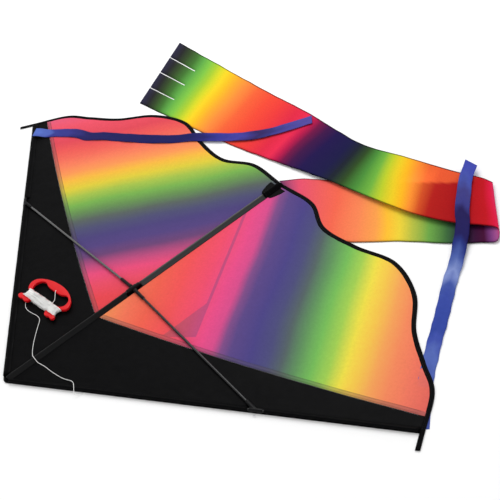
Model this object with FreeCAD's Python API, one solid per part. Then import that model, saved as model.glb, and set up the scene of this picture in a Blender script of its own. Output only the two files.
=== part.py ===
import FreeCAD, Part
import math
import os
from FreeCAD import Placement, Rotation, Vector

# Delta kite laid out flat, belly down. X runs across the span, Y from the nose
# to the tail, Z up. The kite is drawn from its nose corner and moved by ORIGIN_Y
# at the end, so that the origin is on the floor under the middle of the layout.

# Sail
HALF_SPAN = 712.0
SPINE_LENGTH = 700.0
SWEEP = 32.8              # leading edge against the X axis, degrees
FABRIC = 0.3
SAIL_Z = 1.5              # belly face of the sail above the floor
SEAM_APEX_Y = 222.0       # where the seam of the two colours crosses the spine
SEAM_END_Y = 486.0
SEAM_END_X = 688.0
SEAM_START_SLOPE = 0.33
BEYOND = 60.0             # how far cutting shapes reach past what they cut
TAPE_WIDTH = 7.0          # edge tape folded over the trailing edge
TAPE_FREE_END = 34.0
TAPE_END_WIDTH = 9.0
# Trailing edge: place along the wing, and how far it stands behind the straight
# line from the tail to the wing tip, both as shares of the half span
SCALLOPS = ((0.146, 0.0534), (0.256, 0.0463), (0.386, 0.0983), (0.520, 0.1692),
            (0.649, 0.1699), (0.746, 0.1166), (0.843, 0.0934), (0.927, 0.0744))

# Frame rods and their sleeves
ROD_R = 2.5
ROD_Z = 5.6
SLEEVE_WALL = 0.5
EDGE_SLEEVE_DEPTH = 14.0
EDGE_SLEEVE_START = 13.0  # from the nose, along the edge
SPINE_SLEEVE_HALF = 8.5
SPINE_SLEEVE_START = 11.5
SLEEVE_HEM = 3.0          # flat of a sleeve's sewn side
STRIP_HALF = 8.7          # the seam strip under the spine
WING_GAP = 0.3            # clearance between a wing and its neighbours
HINGE_X = 9.0
NOSE_ROUND = 5.5          # the strip's front end behind the nose corner
STRIP_SHOULDER = 4.0      # and how far it is rounded there
ROD_NOSE_GAP = 16.0       # rod end to the nose, along the rod
ROD_TIP_GAP = 12.0
SLEEVE_TIP_GAP = 10.0

# Spreader, its fittings and the centre connector
SPREADER_Y = 314.0        # spreader line where it crosses the spine
FITTING_AT = 541.0        # fitting on the leading edge, from the nose
FIT = 0.05                # rod in a plastic socket, radial
FITTING_WALL = 1.15
FITTING_LENGTH = 26.0
STEM_LENGTH = 30.0
FITTING_WINDOW = 32.0     # opening in the leading edge sleeve
ROD_STOP = 5.0            # rod end to the leading edge rod's axis
ARM_R = 3.5
ARM_LENGTH = 34.0         # from the line it flexes on
KNUCKLE_R = 3.3
SOCKET_DEPTH = 20.0
CORE_R = 5.4
CORE_WIDTH = 14.0
COLLAR_R = 4.6
COLLAR_LENGTH = 30.0
CORE_BASE_Z = 2.2
SLEEVE_GAP = 36.0         # the spine rod is bare over this length

# Pockets and patches
TAIL_POCKET_LENGTH = 48.0
TAIL_POCKET_WALL = 1.1
TAIL_POCKET_END = 4.0
ROD_TAIL_GAP = 1.0        # spine rod to the end of its pocket
TAIL_PATCH_WIDTH = 12.0
TAIL_PATCH_LENGTH = 44.0
TAIL_PATCH_GAP = 2.0      # patch to the tape
TAIL_PATCH_SLANT = 6.0

# Keel, folded flat under the right wing
KEEL_FRONT_Y = 150.0
KEEL_BACK_Y = 611.0
KEEL_TIP_X = 215.0
KEEL_TIP_Y = 325.0
KEEL_Z = 0.5
KEEL_ROOT_X = 0.8
KEEL_TAPE = 6.0
KEEL_TAPE_THICK = 0.2
KEEL_TAPE_START = 12.0    # tape's ends to the spine
TOW_PATCH_SHARE = 0.26    # share of each free edge that the patch covers
TOW_INSET = 13.0          # eyelet centre from the tip
EYELET_BORE_R = 3.0
EYELET_FLANGE_R = 5.5
EYELET_LIP = 0.3
RIB_HALF = 0.5            # seam allowance that the keel hangs from

# Streamers and tail
STREAMER_WIDTH = 30.0
TAIL_CLOTH = 0.55         # with its rolled hems
TAIL_FRINGE = 105.0
FRINGE_SLIT = 3.0
FRINGE_STRIPS = 4

# Winder
WINDER_X = -128.0
WINDER_Y = 162.0
WINDER_TURN = 7.0
GRIP_HALF = 69.0
GRIP_TOP = 53.0
GRIP_MIDDLE_Y = 22.0      # widest line of the grip
GRIP_TUCK = 4.0           # how far the D draws in from there to the opening's base
GRIP_FOOT = 54.0          # half width where it meets the bar
GRIP_THICK = 6.0
OPENING_HALF = 50.0
OPENING_BASE = 11.0
OPENING_TOP = 37.0
OPENING_ROUND = 7.0
SWELL = 3.0               # palm swell between the two lobes
LOBE_R = 12.0
LOBE_INSET = 5.0          # lobe to the end of the opening
BAR_HALF = 50.0
BAR_HALF_WIDTH = 9.5
BAR_LAP = 0.5
HORN_IN = 27.0
HORN_OUT = 65.0
HORN_DROP = 13.0
HORN_SPREAD = 0.45        # line of its bumps below the bar, share of the drop
# Bumps of a horn: place along it, and radius as a share of its drop
HORN_BUMPS = ((0.18, 0.42), (0.5, 0.5), (0.82, 0.44))
HORN_WEB = (0.16, 0.82)   # solid part between the outer bumps
WOUND_THICK = 13.0
WOUND_HALF = 58.0
WOUND_HALF_WIDTH = 9.0
WOUND_ROUND = 0.42        # share of the thickness

# Flying line
LINE_D = 1.2
LINE_FLATS = 6
LINE_BEND = 0.45          # share of the shorter run that a bend takes up
KNOT_R = 1.6

ORIGIN_Y = 497.6

SLOPE = math.tan(math.radians(SWEEP))
ALONG = Vector(math.cos(math.radians(SWEEP)), math.sin(math.radians(SWEEP)), 0)
INWARD = Vector(-ALONG.y, ALONG.x, 0)
UP = Vector(0, 0, 1)
SAIL_TOP = SAIL_Z + FABRIC
EDGE_LENGTH = HALF_SPAN / ALONG.x
TIP = Vector(HALF_SPAN, HALF_SPAN * SLOPE, 0)
WING_X = HINGE_X + WING_GAP
WINDER_AT = Vector(WINDER_X, WINDER_Y, 0)
SLEEVE_R = ROD_Z - SAIL_TOP


def save(name, *shapes):
    """Move the pieces of one node to the origin and write them."""
    moved = [shape.translated(Vector(0, -ORIGIN_Y, 0)) for shape in shapes]
    solids = [solid for shape in moved for solid in shape.Solids]
    for solid in solids:
        if not solid.isValid():
            raise ValueError(name + " is not a valid solid")
    whole = solids[0] if len(solids) == 1 else Part.makeCompound(solids)
    whole.exportStep(os.path.join("parts", name + ".step"))


def save_pair(name, shape):
    """Write the right wing's piece and its mirror image on the left wing."""
    save("right_" + name, shape)
    save("left_" + name, shape.mirror(Vector(0, 0, 0), Vector(1, 0, 0)))


def polygon(points):
    return Part.Face(Part.makePolygon(list(points) + [points[0]]))


def plate(face, low, thickness=FABRIC):
    return face.translated(UP * low).extrude(UP * thickness)


def edge_point(distance, inward=0.0, height=0.0):
    """A point on the right leading edge, from the nose corner."""
    return ALONG * distance + INWARD * inward + UP * height


def tube(start, end, radius):
    axis = end - start
    return Part.makeCylinder(radius, axis.Length, start, axis)


def tangent_point(centre, radius, outside, side):
    """Where the line from an outside point touches a circle, in two dimensions."""
    away = (outside[0] - centre[0], outside[1] - centre[1])
    distance = math.hypot(*away)
    turn = math.atan2(away[1], away[0]) + side * math.acos(radius / distance)
    return (centre[0] + radius * math.cos(turn), centre[1] + radius * math.sin(turn))


# Sail outlines --------------------------------------------------------------

def trailing_edge():
    """Spline from the tail to the wing tip."""
    line = lambda x: SPINE_LENGTH + (TIP.y - SPINE_LENGTH) * x / HALF_SPAN
    share, behind = SCALLOPS[0]
    points = [Vector(WING_X, line(WING_X) + WING_X * behind / share, 0)]
    for share, behind in SCALLOPS:
        x = share * HALF_SPAN
        points.append(Vector(x, line(x) + behind * HALF_SPAN, 0))
    points.append(TIP)
    curve = Part.BSplineCurve()
    curve.interpolate(points)
    return curve


def beside(curve, offset, count=13):
    """Spline that follows a curve at a distance, positive towards the tail."""
    points = []
    span = curve.LastParameter - curve.FirstParameter
    for step in range(count):
        at = curve.FirstParameter + span * step / (count - 1)
        forward = curve.tangent(at)[0]
        points.append(curve.value(at) + Vector(-forward.y, forward.x, 0) * offset)
    follower = Part.BSplineCurve()
    follower.interpolate(points)
    return follower


def seam_y(x):
    bow = (SEAM_END_Y - SEAM_APEX_Y - SEAM_START_SLOPE * SEAM_END_X) / SEAM_END_X ** 2
    return SEAM_APEX_Y + SEAM_START_SLOPE * x + bow * x * x


def wing_face(curve):
    start, end = curve.value(curve.FirstParameter), curve.value(curve.LastParameter)
    nose = Vector(WING_X, WING_X * SLOPE, 0)
    edges = [curve.toShape(), Part.LineSegment(end, nose).toShape(),
             Part.LineSegment(nose, start).toShape()]
    return Part.Face(Part.Wire(edges))


def front_region():
    """Everything in front of the curved seam, wider than the wing."""
    first = Vector(0, seam_y(0), 0)
    last = Vector(HALF_SPAN + BEYOND, seam_y(HALF_SPAN + BEYOND), 0)
    middle_x = last.x / 2
    middle = Vector(middle_x, first.y + SEAM_START_SLOPE * middle_x, 0)
    seam = Part.BezierCurve()
    seam.setPoles([first, middle, last])
    corner = Vector(last.x, -BEYOND, 0)
    back = Vector(0, -BEYOND, 0)
    edges = [seam.toShape(), Part.LineSegment(last, corner).toShape(),
             Part.LineSegment(corner, back).toShape(), Part.LineSegment(back, first).toShape()]
    return Part.Face(Part.Wire(edges))


def make_sail():
    curve = trailing_edge()
    wing = plate(wing_face(curve), SAIL_Z)
    front = front_region().translated(-UP * BEYOND).extrude(UP * 2 * BEYOND)
    save_pair("nose_panel", wing.common(front))
    save_pair("rainbow_panel", wing.cut(front))
    save_pair("edge_tape", edge_tape(curve, wing))


def edge_tape(curve, wing):
    """Tape along the trailing edge, with its free end past the tip."""
    inner = beside(curve, -TAPE_WIDTH)
    start, end = curve.value(curve.FirstParameter), curve.value(curve.LastParameter)
    inner_start, inner_end = inner.value(inner.FirstParameter), inner.value(inner.LastParameter)
    outline = [curve.toShape(), Part.LineSegment(end, inner_end).toShape(),
               inner.toShape(), Part.LineSegment(inner_start, start).toShape()]
    strip = plate(Part.Face(Part.Wire(outline)), SAIL_TOP)
    forward = curve.tangent(curve.LastParameter)[0]
    across = Vector(-forward.y, forward.x, 0)
    root = TIP - across * TAPE_WIDTH
    side = across * TAPE_END_WIDTH
    free_end = plate(polygon([root, root + forward * TAPE_FREE_END,
                              root + forward * TAPE_FREE_END + side, root + side]),
                     SAIL_Z, 2 * FABRIC)
    return strip.fuse(free_end.cut(wing)).removeSplitter()


# Frame ----------------------------------------------------------------------

def edge_sleeve():
    """Drop-shaped sleeve along the leading edge, open at the fitting."""
    centre = (SLEEVE_R, ROD_Z)
    inner_r = SLEEVE_R - SLEEVE_WALL
    drops = []
    at = lambda point: edge_point(EDGE_SLEEVE_START, point[0], point[1])
    for radius, tail in ((SLEEVE_R, (EDGE_SLEEVE_DEPTH, SAIL_TOP)),
                         (inner_r, (EDGE_SLEEVE_DEPTH - SLEEVE_HEM, SAIL_TOP + SLEEVE_WALL))):
        top = tangent_point(centre, radius, tail, 1)
        far = (centre[0] - radius, centre[1])
        bottom = (centre[0], centre[1] - radius)
        drops.append(Part.Face(Part.Wire([Part.Arc(at(bottom), at(far), at(top)).toShape(),
                                          Part.LineSegment(at(top), at(tail)).toShape(),
                                          Part.LineSegment(at(tail), at(bottom)).toShape()])))
    length = EDGE_LENGTH - SLEEVE_TIP_GAP - EDGE_SLEEVE_START
    whole = drops[0].extrude(ALONG * length).cut(drops[1].extrude(ALONG * length))
    window = Part.makeBox(FITTING_WINDOW, 2 * BEYOND, BEYOND)
    window.Placement = Placement(edge_point(FITTING_AT - FITTING_WINDOW / 2, -BEYOND), Rotation(UP, SWEEP))
    inside = Part.makeBox(BEYOND, 2 * BEYOND, BEYOND, Vector(WING_X - BEYOND, -BEYOND, 0))
    return whole.cut(window).cut(inside)


def fitting_centre():
    return edge_point(FITTING_AT, SLEEVE_R, ROD_Z)


def spreader_direction():
    """Unit vector from the spine to the right fitting."""
    return (fitting_centre() - Vector(0, SPREADER_Y, ROD_Z)).normalize()


def spreader_point(distance):
    return Vector(0, SPREADER_Y, ROD_Z) + spreader_direction() * distance


def make_edges():
    rod_start = edge_point(ROD_NOSE_GAP, SLEEVE_R, ROD_Z)
    rod_end = edge_point(EDGE_LENGTH - ROD_TIP_GAP, SLEEVE_R, ROD_Z)
    save_pair("edge_rod", tube(rod_start, rod_end, ROD_R))
    save_pair("edge_sleeve", edge_sleeve())


def fitting():
    """Soft T: a tube on the leading edge rod with a stem for the spreader."""
    centre = fitting_centre()
    outer = ROD_R + FIT + FITTING_WALL
    half = ALONG * (FITTING_LENGTH / 2)
    stem_end = centre - spreader_direction() * STEM_LENGTH
    body = tube(centre - half, centre + half, outer).fuse(tube(centre, stem_end, outer))
    body = body.cut(tube(centre - half, centre + half, ROD_R + FIT))
    socket = centre - spreader_direction() * ROD_STOP
    return body.cut(tube(socket, stem_end, ROD_R + FIT))


def connector_arm():
    """Arm of the soft centre connector, round about the line it flexes on."""
    start = spreader_point(HINGE_X / spreader_direction().x)
    end = start + spreader_direction() * ARM_LENGTH
    knuckle = Part.makeCylinder(KNUCKLE_R, 2 * ARM_R, start - Vector(0, ARM_R, 0), Vector(0, 1, 0))
    mouth = end - spreader_direction() * SOCKET_DEPTH
    return tube(start, end, ARM_R).fuse(knuckle).cut(tube(mouth, end, ROD_R + FIT))


def make_spreader():
    reach = (fitting_centre() - spreader_point(0)).Length
    first = spreader_point(HINGE_X / spreader_direction().x + ARM_LENGTH - SOCKET_DEPTH + FIT)
    save_pair("spreader_rod", tube(first, spreader_point(reach - ROD_STOP - FIT), ROD_R))
    save_pair("spreader_fitting", fitting())
    save_pair("connector_arm", connector_arm())
    save("centre_connector", connector_core())


def connector_core():
    """Collar on the spine between the two arms, flat underneath."""
    middle = Vector(0, SPREADER_Y, ROD_Z)
    along = Vector(0, 1, 0)
    body = tube(middle - along * (CORE_WIDTH / 2), middle + along * (CORE_WIDTH / 2), CORE_R)
    front, back = middle - along * (COLLAR_LENGTH / 2), middle + along * (COLLAR_LENGTH / 2)
    body = body.fuse(tube(front, back, COLLAR_R)).cut(tube(front, back, ROD_R + FIT))
    below = Part.makeBox(2 * BEYOND, 2 * BEYOND, BEYOND,
                         Vector(-BEYOND, SPREADER_Y - BEYOND, CORE_BASE_Z - BEYOND))
    return body.cut(below)


# Spine ----------------------------------------------------------------------

def hat_face(radius, half_width, base, y):
    """Cross-section of a sleeve that lies over a rod, at one place on the spine."""
    centre = (0.0, ROD_Z)
    side = tangent_point(centre, radius, (half_width, base), 1)
    at = lambda x, z: Vector(x, y, z)
    arc = Part.Arc(at(side[0], side[1]), at(0, ROD_Z + radius), at(-side[0], side[1]))
    rest = Part.makePolygon([at(-side[0], side[1]), at(-half_width, base), at(half_width, base),
                             at(side[0], side[1])])
    return Part.Face(Part.Wire([arc.toShape()] + rest.Edges))


def sleeve_run(start, end):
    inner_half = SPINE_SLEEVE_HALF - SLEEVE_HEM
    along = Vector(0, end - start, 0)
    outer = hat_face(SLEEVE_R, SPINE_SLEEVE_HALF, SAIL_TOP, start).extrude(along)
    inner = hat_face(SLEEVE_R - SLEEVE_WALL, inner_half, SAIL_TOP + SLEEVE_WALL, start)
    return outer.cut(inner.extrude(along))


def make_spine():
    pocket_start = SPINE_LENGTH - TAIL_POCKET_LENGTH
    rod_front = Vector(0, ROD_NOSE_GAP, ROD_Z)
    rod_back = Vector(0, SPINE_LENGTH - TAIL_POCKET_END - ROD_TAIL_GAP, ROD_Z)
    save("spine_rod", tube(rod_front, rod_back, ROD_R))
    save("spine_sleeve_front", sleeve_run(SPINE_SLEEVE_START, SPREADER_Y - SLEEVE_GAP / 2))
    save("spine_sleeve_rear", sleeve_run(SPREADER_Y + SLEEVE_GAP / 2, pocket_start))
    save("spine_seam_strip", seam_strip())
    save("tail_pocket", tail_pocket(pocket_start))
    patch_back = SPINE_LENGTH - TAPE_WIDTH - TAIL_PATCH_GAP
    patch = polygon([Vector(WING_X, SPINE_LENGTH - TAPE_WIDTH - TAIL_PATCH_LENGTH, 0),
                     Vector(WING_X + TAIL_PATCH_WIDTH, patch_back - TAIL_PATCH_SLANT, 0),
                     Vector(WING_X, patch_back, 0)])
    save_pair("tail_patch", plate(patch, SAIL_TOP))


def seam_strip():
    """Strip under the spine that joins the wings, with the keel's seam rib."""
    right = Vector(STRIP_HALF, NOSE_ROUND + STRIP_SHOULDER, 0)
    left = Vector(-right.x, right.y, 0)
    round_front = Part.Arc(left, Vector(0, NOSE_ROUND, 0), right)
    sides = Part.makePolygon([right, Vector(STRIP_HALF, SPINE_LENGTH, 0),
                              Vector(-STRIP_HALF, SPINE_LENGTH, 0), left])
    strip = plate(Part.Face(Part.Wire([round_front.toShape()] + sides.Edges)), SAIL_Z)
    rib_base = KEEL_Z + FABRIC + WING_GAP
    rib = Part.makeBox(2 * RIB_HALF, KEEL_BACK_Y - KEEL_FRONT_Y, SAIL_Z - rib_base,
                       Vector(-RIB_HALF, KEEL_FRONT_Y, rib_base))
    return strip.fuse(rib)


def tail_pocket(start):
    """Closed pocket over the tail end of the spine rod."""
    outer_r = ROD_R + 2 * TAIL_POCKET_WALL
    along = Vector(0, SPINE_LENGTH - start, 0)
    outer = hat_face(outer_r, STRIP_HALF, SAIL_TOP, start).extrude(along)
    bore = Vector(0, SPINE_LENGTH - TAIL_POCKET_END, ROD_Z)
    return outer.cut(tube(Vector(0, start, ROD_Z), bore, ROD_R + TAIL_POCKET_WALL))


# Keel -----------------------------------------------------------------------

def make_keel():
    tip = Vector(KEEL_TIP_X, KEEL_TIP_Y, 0)
    front = Vector(KEEL_ROOT_X, KEEL_FRONT_Y, 0)
    back = Vector(KEEL_ROOT_X, KEEL_BACK_Y, 0)
    outline = Part.makePolygon([front, tip, back, front])
    middle = (front + tip + back) * (1 / 3)
    eyelet = tip - (tip - middle).normalize() * TOW_INSET
    hole = drill(eyelet, EYELET_BORE_R + EYELET_LIP)
    panel = plate(Part.Face(outline), KEEL_Z)
    save("keel_panel", panel.cut(hole))
    inner = Part.Face(outline).makeOffset2D(-KEEL_TAPE)
    border = plate(Part.Face(outline), KEEL_Z + FABRIC, KEEL_TAPE_THICK)
    border = border.cut(inner.extrude(UP * BEYOND))
    patch_front = tip + (front - tip) * TOW_PATCH_SHARE
    patch_back = tip + (back - tip) * TOW_PATCH_SHARE
    clear = Part.makeBox(KEEL_TAPE_START + BEYOND, SPINE_LENGTH, BEYOND, Vector(-BEYOND, 0, 0))
    border = border.cut(clear).cut(drill(eyelet, EYELET_FLANGE_R + WING_GAP))
    save("keel_edge_tape", border)
    patch = plate(polygon([tip, patch_front, patch_back]), KEEL_Z - KEEL_TAPE_THICK, KEEL_TAPE_THICK)
    save("tow_patch", patch.cut(hole))
    save("tow_eyelet", eyelet_ring(eyelet))
    save("line_knot", line_knot(tip))


def drill(centre, radius):
    return Part.makeCylinder(radius, BEYOND, centre - UP * BEYOND / 2)


def eyelet_ring(centre):
    """Rolled metal ring: a barrel with a flange on each side of the cloth."""
    low = KEEL_Z - KEEL_TAPE_THICK
    high = KEEL_Z + FABRIC
    bottom, top = low - EYELET_LIP, high + EYELET_LIP
    barrel = EYELET_BORE_R + EYELET_LIP
    profile = [(EYELET_BORE_R, bottom), (EYELET_FLANGE_R, bottom), (EYELET_FLANGE_R, low),
               (barrel, low), (barrel, high), (EYELET_FLANGE_R, high), (EYELET_FLANGE_R, top),
               (EYELET_BORE_R, top)]
    face = polygon([centre + Vector(radius, 0, height) for radius, height in profile])
    return face.revolve(centre, UP, 360)


def line_knot(tip):
    """Knot that ties the line to the keel's tip."""
    centre = tip + Vector(KNOT_R, 0, KEEL_Z - EYELET_LIP)
    return Part.makeCylinder(KNOT_R, LINE_D, centre)


# Cloth bands ----------------------------------------------------------------

def band_sections(stations, thickness):
    """Cross-sections of a ribbon through pairs of edge points. The thickness is
    laid off square to the cloth, so the ribbon can fold over itself."""
    sections = []
    for step, (first, second) in enumerate(stations):
        before = stations[max(step - 1, 0)]
        after = stations[min(step + 1, len(stations) - 1)]
        forward = (after[0] + after[1]) - (before[0] + before[1])
        off = (second - first).cross(forward).normalize() * thickness
        sections.append((first, second, second + off, first + off))
    return sections


def band(sections):
    """Solid of planar facets between the cross-sections."""
    faces = [polygon(sections[0][::-1]), polygon(sections[-1])]
    for here, there in zip(sections, sections[1:]):
        for corner in range(4):
            after = (corner + 1) % 4
            # the two faces of the cloth are split along the same diagonal
            near, far = (here[corner], there[after]) if corner < 2 else (here[after], there[corner])
            faces.append(polygon((here[corner], here[after], far)))
            faces.append(polygon((near, there[after], there[corner])))
    shell = Part.Shell(faces)
    shell.sewShape()
    return Part.Solid(shell)


def streamer(route):
    """Straight-sided ribbon that follows a route of centre points."""
    points = [Vector(*point) for point in route]
    stations = []
    for step, point in enumerate(points):
        before = points[max(step - 1, 0)]
        after = points[min(step + 1, len(points) - 1)]
        forward = Vector(after.x - before.x, after.y - before.y, 0).normalize()
        side = Vector(-forward.y, forward.x, 0) * (STREAMER_WIDTH / 2)
        stations.append((point + side, point - side))
    return band(band_sections(stations, FABRIC))


LEFT_STREAMER = ((-682, 474, 2.2), (-632, 482, 2.5), (-574, 504, 2.5), (-486, 551, 2.5),
                 (-370, 619, 2.5), (-300, 675, 2.7), (-240, 714, 4.2), (-182, 760, 5.0),
                 (-143, 815, 5.0), (-112, 872, 5.0))
RIGHT_STREAMER = ((694, 484, 0.3), (646, 536, 0.3), (612, 572, 0.5), (566, 622, 2.0),
                  (520, 686, 4.5), (466, 752, 7.0), (424, 802, 13.2), (388, 848, 13.6),
                  (334, 910, 13.6), (296, 962, 13.4), (284, 982, 12.0))


def make_streamers():
    save("left_streamer", streamer(LEFT_STREAMER))
    save("right_streamer", streamer(RIGHT_STREAMER))


# Edge pairs of the tail behind the spine's end, from its gathered end out to the
# fold on the right and back over itself to the fringe on the left
TAIL_STATIONS = (
    ((-14, 2, 0.2), (24, -10, 0.2)), ((34, 38, 0.4), (120, -28, 0.4)),
    ((118, 88, 0.6), (235, -34, 0.5)), ((216, 153, 0.6), (337, 40, 0.6)),
    ((300, 218, 1.2), (422, 96, 1.0)), ((344, 247, 2.4), (468, 133, 2.0)),
    ((357, 257, 4.4), (483, 145, 4.0)), ((359, 259, 6.4), (485, 147, 5.9)),
    ((352, 256, 8.6), (474, 146, 8.0)), ((318, 250, 10.2), (400, 138, 10.2)),
    ((160, 208, 8.3), (247, 102, 9.3)), ((39, 185, 4.3), (66, 61, 6.3)),
    ((-150, 184, 2.7), (-110, 27, 2.7)), ((-320, 178, 0.9), (-260, 2, 0.9)),
    ((-662, 173, 0.7), (-537, -31, 0.7)))
TAIL_SPLITS = (0, 5, 9, 14)     # the band is made in three lengths: run, fold, run


def make_tail():
    stations = [tuple(Vector(x, SPINE_LENGTH + y, z) for x, y, z in pair) for pair in TAIL_STATIONS]
    far, near = stations[-1]
    inner_far, inner_near = stations[-2]
    share = TAIL_FRINGE / (far - inner_far).Length
    root_far = far + (inner_far - far) * share
    root_near = near + (inner_near - near) * share
    sections = band_sections(stations[:-1] + [(root_far, root_near)], TAIL_CLOTH)
    cloth = [band(sections[first:last + 1]) for first, last in zip(TAIL_SPLITS, TAIL_SPLITS[1:])]
    slit = FRINGE_SLIT / (far - near).Length
    for number in range(FRINGE_STRIPS):
        first = number / FRINGE_STRIPS + (slit / 2 if number else 0)
        last = (number + 1) / FRINGE_STRIPS - (slit / 2 if number < FRINGE_STRIPS - 1 else 0)
        ends = [(a + (b - a) * first, a + (b - a) * last) for a, b in ((root_far, root_near), (far, near))]
        cloth.append(band(band_sections(ends, TAIL_CLOTH)))
    save("main_tail", *cloth)


# Winder ---------------------------------------------------------------------

def grip_outline():
    """Outer edge of the D: half an ellipse with its ends turned in to the bar."""
    rise = GRIP_TOP - GRIP_MIDDLE_Y
    ellipse = Part.Ellipse(Vector(0, GRIP_MIDDLE_Y, 0), GRIP_HALF, rise)
    crown = Part.Arc(ellipse, 0, math.pi).toShape()
    foot = Vector(GRIP_FOOT, BAR_HALF_WIDTH, 0)
    right = Part.Arc(Vector(GRIP_HALF, GRIP_MIDDLE_Y, 0),
                     Vector(GRIP_HALF - GRIP_TUCK, OPENING_BASE, 0), foot).toShape()
    left = right.mirror(Vector(0, 0, 0), Vector(1, 0, 0))
    base = Part.LineSegment(Vector(-foot.x, foot.y, 0), foot).toShape()
    return Part.Face(Part.Wire(Part.__sortEdges__([crown, right, base, left])))


def grip_opening():
    """Finger opening: a rounded slot with two lobes beside the palm swell."""
    height = OPENING_TOP - SWELL - OPENING_BASE
    slot = Part.makeBox(2 * OPENING_HALF, height, GRIP_THICK, Vector(-OPENING_HALF, OPENING_BASE, 0))
    slot = slot.makeFillet(OPENING_ROUND, [e for e in slot.Edges if abs(e.tangentAt(0).z) > 0.9])
    lobe_x = OPENING_HALF - LOBE_R - LOBE_INSET
    for x in (-lobe_x, lobe_x):
        slot = slot.fuse(Part.makeCylinder(LOBE_R, GRIP_THICK, Vector(x, OPENING_TOP - LOBE_R, 0)))
    return slot.removeSplitter()


def horn(side):
    """Bumpy horn that keeps the line on the bar."""
    width = HORN_OUT - HORN_IN
    first, last = HORN_WEB
    depth = HORN_DROP / 2
    shape = Part.makeBox(width * (last - first), depth + BAR_LAP, GRIP_THICK,
                         Vector(HORN_IN + width * first, -BAR_HALF_WIDTH - depth, 0))
    for share, radius in HORN_BUMPS:
        centre = Vector(HORN_IN + width * share, -BAR_HALF_WIDTH - HORN_DROP * HORN_SPREAD, 0)
        shape = shape.fuse(Part.makeCylinder(HORN_DROP * radius, GRIP_THICK, centre))
    return shape if side > 0 else shape.mirror(Vector(0, 0, 0), Vector(1, 0, 0))


def make_winder():
    lift = SAIL_TOP + (WOUND_THICK - GRIP_THICK) / 2
    frame = grip_outline().extrude(UP * GRIP_THICK).cut(grip_opening())
    bar = Part.makeBox(2 * BAR_HALF, 2 * (BAR_HALF_WIDTH + BAR_LAP), GRIP_THICK,
                       Vector(-BAR_HALF, -BAR_HALF_WIDTH - BAR_LAP, 0))
    frame = frame.fuse(bar).fuse(horn(1)).fuse(horn(-1)).removeSplitter()
    wound = Part.makeBox(2 * WOUND_HALF, 2 * WOUND_HALF_WIDTH, WOUND_THICK,
                         Vector(-WOUND_HALF, -WOUND_HALF_WIDTH, 0))
    ends = [e for e in wound.Edges if abs(e.tangentAt(0).y) > 0.9]
    wound = wound.makeFillet(WOUND_THICK * WOUND_ROUND, ends)
    slot = Part.makeBox(2 * BAR_HALF, 4 * WOUND_HALF_WIDTH, GRIP_THICK,
                        Vector(-BAR_HALF, -2 * WOUND_HALF_WIDTH, (WOUND_THICK - GRIP_THICK) / 2))
    wound = wound.cut(slot)
    turn = Rotation(UP, WINDER_TURN)
    frame.Placement = Placement(WINDER_AT + UP * lift, turn)
    wound.Placement = Placement(WINDER_AT + UP * SAIL_TOP, turn)
    save("winder_handle", frame)
    save("wound_line", wound.cut(frame))


# Flying line ----------------------------------------------------------------

# The ends at the spine meet on the lines that the wings turn about
LINE_LEFT = ((-166, 147, 3.0), (-158, 136, 2.6), (-142, 131, 2.4), (-124, 133, 2.4),
             (-106, 138, 2.4), (-90, 137, 2.4), (-76, 123, 2.4), (-52, 102, 2.4),
             (-36, 90, 2.4), (-22, 80.5, 2.5), (-11.28, 75.92, 2.7), (-9.15, 75.62, 5.41))
LINE_MIDDLE = ((-8.85, 75.58, 5.79), (-3.2, 74.8, 13.0), (3.2, 74.5, 13.0), (8.85, 74.6, 5.79))
LINE_RIGHT = ((9.15, 74.6, 5.41), (11.28, 74.64, 2.7), (22, 77, 2.5), (34, 80, 2.4),
              (60, 82.6, 2.4), (90, 88.4, 2.8), (104, 93, 4.6), (117, 97, 8.6),
              (129, 96.5, 12.0), (139, 91.5, 12.4), (147, 86, 9.8), (151.6, 84.6, 5.4),
              (153.8, 88, 1.7), (156, 96, 0.75), (162, 128, 0.8), (174, 172, 0.8),
              (184, 222, 0.8), (200, 276, 0.8), (212, 302, 0.8), (216.4, 321.6, 0.8))


def rounded_path(points):
    """Straight runs joined by tangent arcs, as wide as the runs allow."""
    edges = []
    radii = []
    start = points[0]
    for before, corner, after in zip(points, points[1:], points[2:]):
        back, ahead = before - corner, after - corner
        turn = math.pi - back.getAngle(ahead)
        reach = LINE_BEND * min(back.Length, ahead.Length)
        radii.append(reach / math.tan(turn / 2))
        enter = corner + back.normalize() * reach
        leave = corner + ahead.normalize() * reach
        bend = (back + ahead).normalize()
        to_centre = radii[-1] / math.cos(turn / 2)
        middle = corner + bend * (to_centre - radii[-1])
        edges.append(Part.LineSegment(start, enter).toShape())
        edges.append(Part.Arc(enter, middle, leave).toShape())
        start = leave
    edges.append(Part.LineSegment(start, points[-1]).toShape())
    return Part.Wire(edges), radii


def make_line(name, route):
    points = [Vector(*point) for point in route]
    path, radii = rounded_path(points)
    ahead = (points[1] - points[0]).normalize()
    side = ahead.cross(UP).normalize()
    # six flats with the area of the round section keep so thin a line light
    area = math.pi * LINE_D ** 2 / 4
    reach = math.sqrt(2 * area / (LINE_FLATS * math.sin(2 * math.pi / LINE_FLATS)))
    turns = [2 * math.pi * step / LINE_FLATS for step in range(LINE_FLATS)]
    corners = [points[0] + (side * math.cos(turn) + side.cross(ahead) * math.sin(turn)) * reach
               for turn in turns]
    section = Part.makePolygon(corners + corners[:1])
    cord = path.makePipeShell([section], True, False)
    expected = area * path.Length
    print(name, "length %.1f" % path.Length, "volume/expected %.3f" % (cord.Volume / expected),
          "radii", " ".join("%.1f" % radius for radius in radii))
    save(name, cord)


os.makedirs("parts", exist_ok=True)
make_sail()
make_edges()
make_spreader()
make_spine()
make_keel()
make_streamers()
make_tail()
make_winder()
make_line("line_left", LINE_LEFT)
make_line("line_middle", LINE_MIDDLE)
make_line("line_right", LINE_RIGHT)
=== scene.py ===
import math

import bmesh
import bpy
import numpy as np
from mathutils import Matrix, Vector, noise


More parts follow.
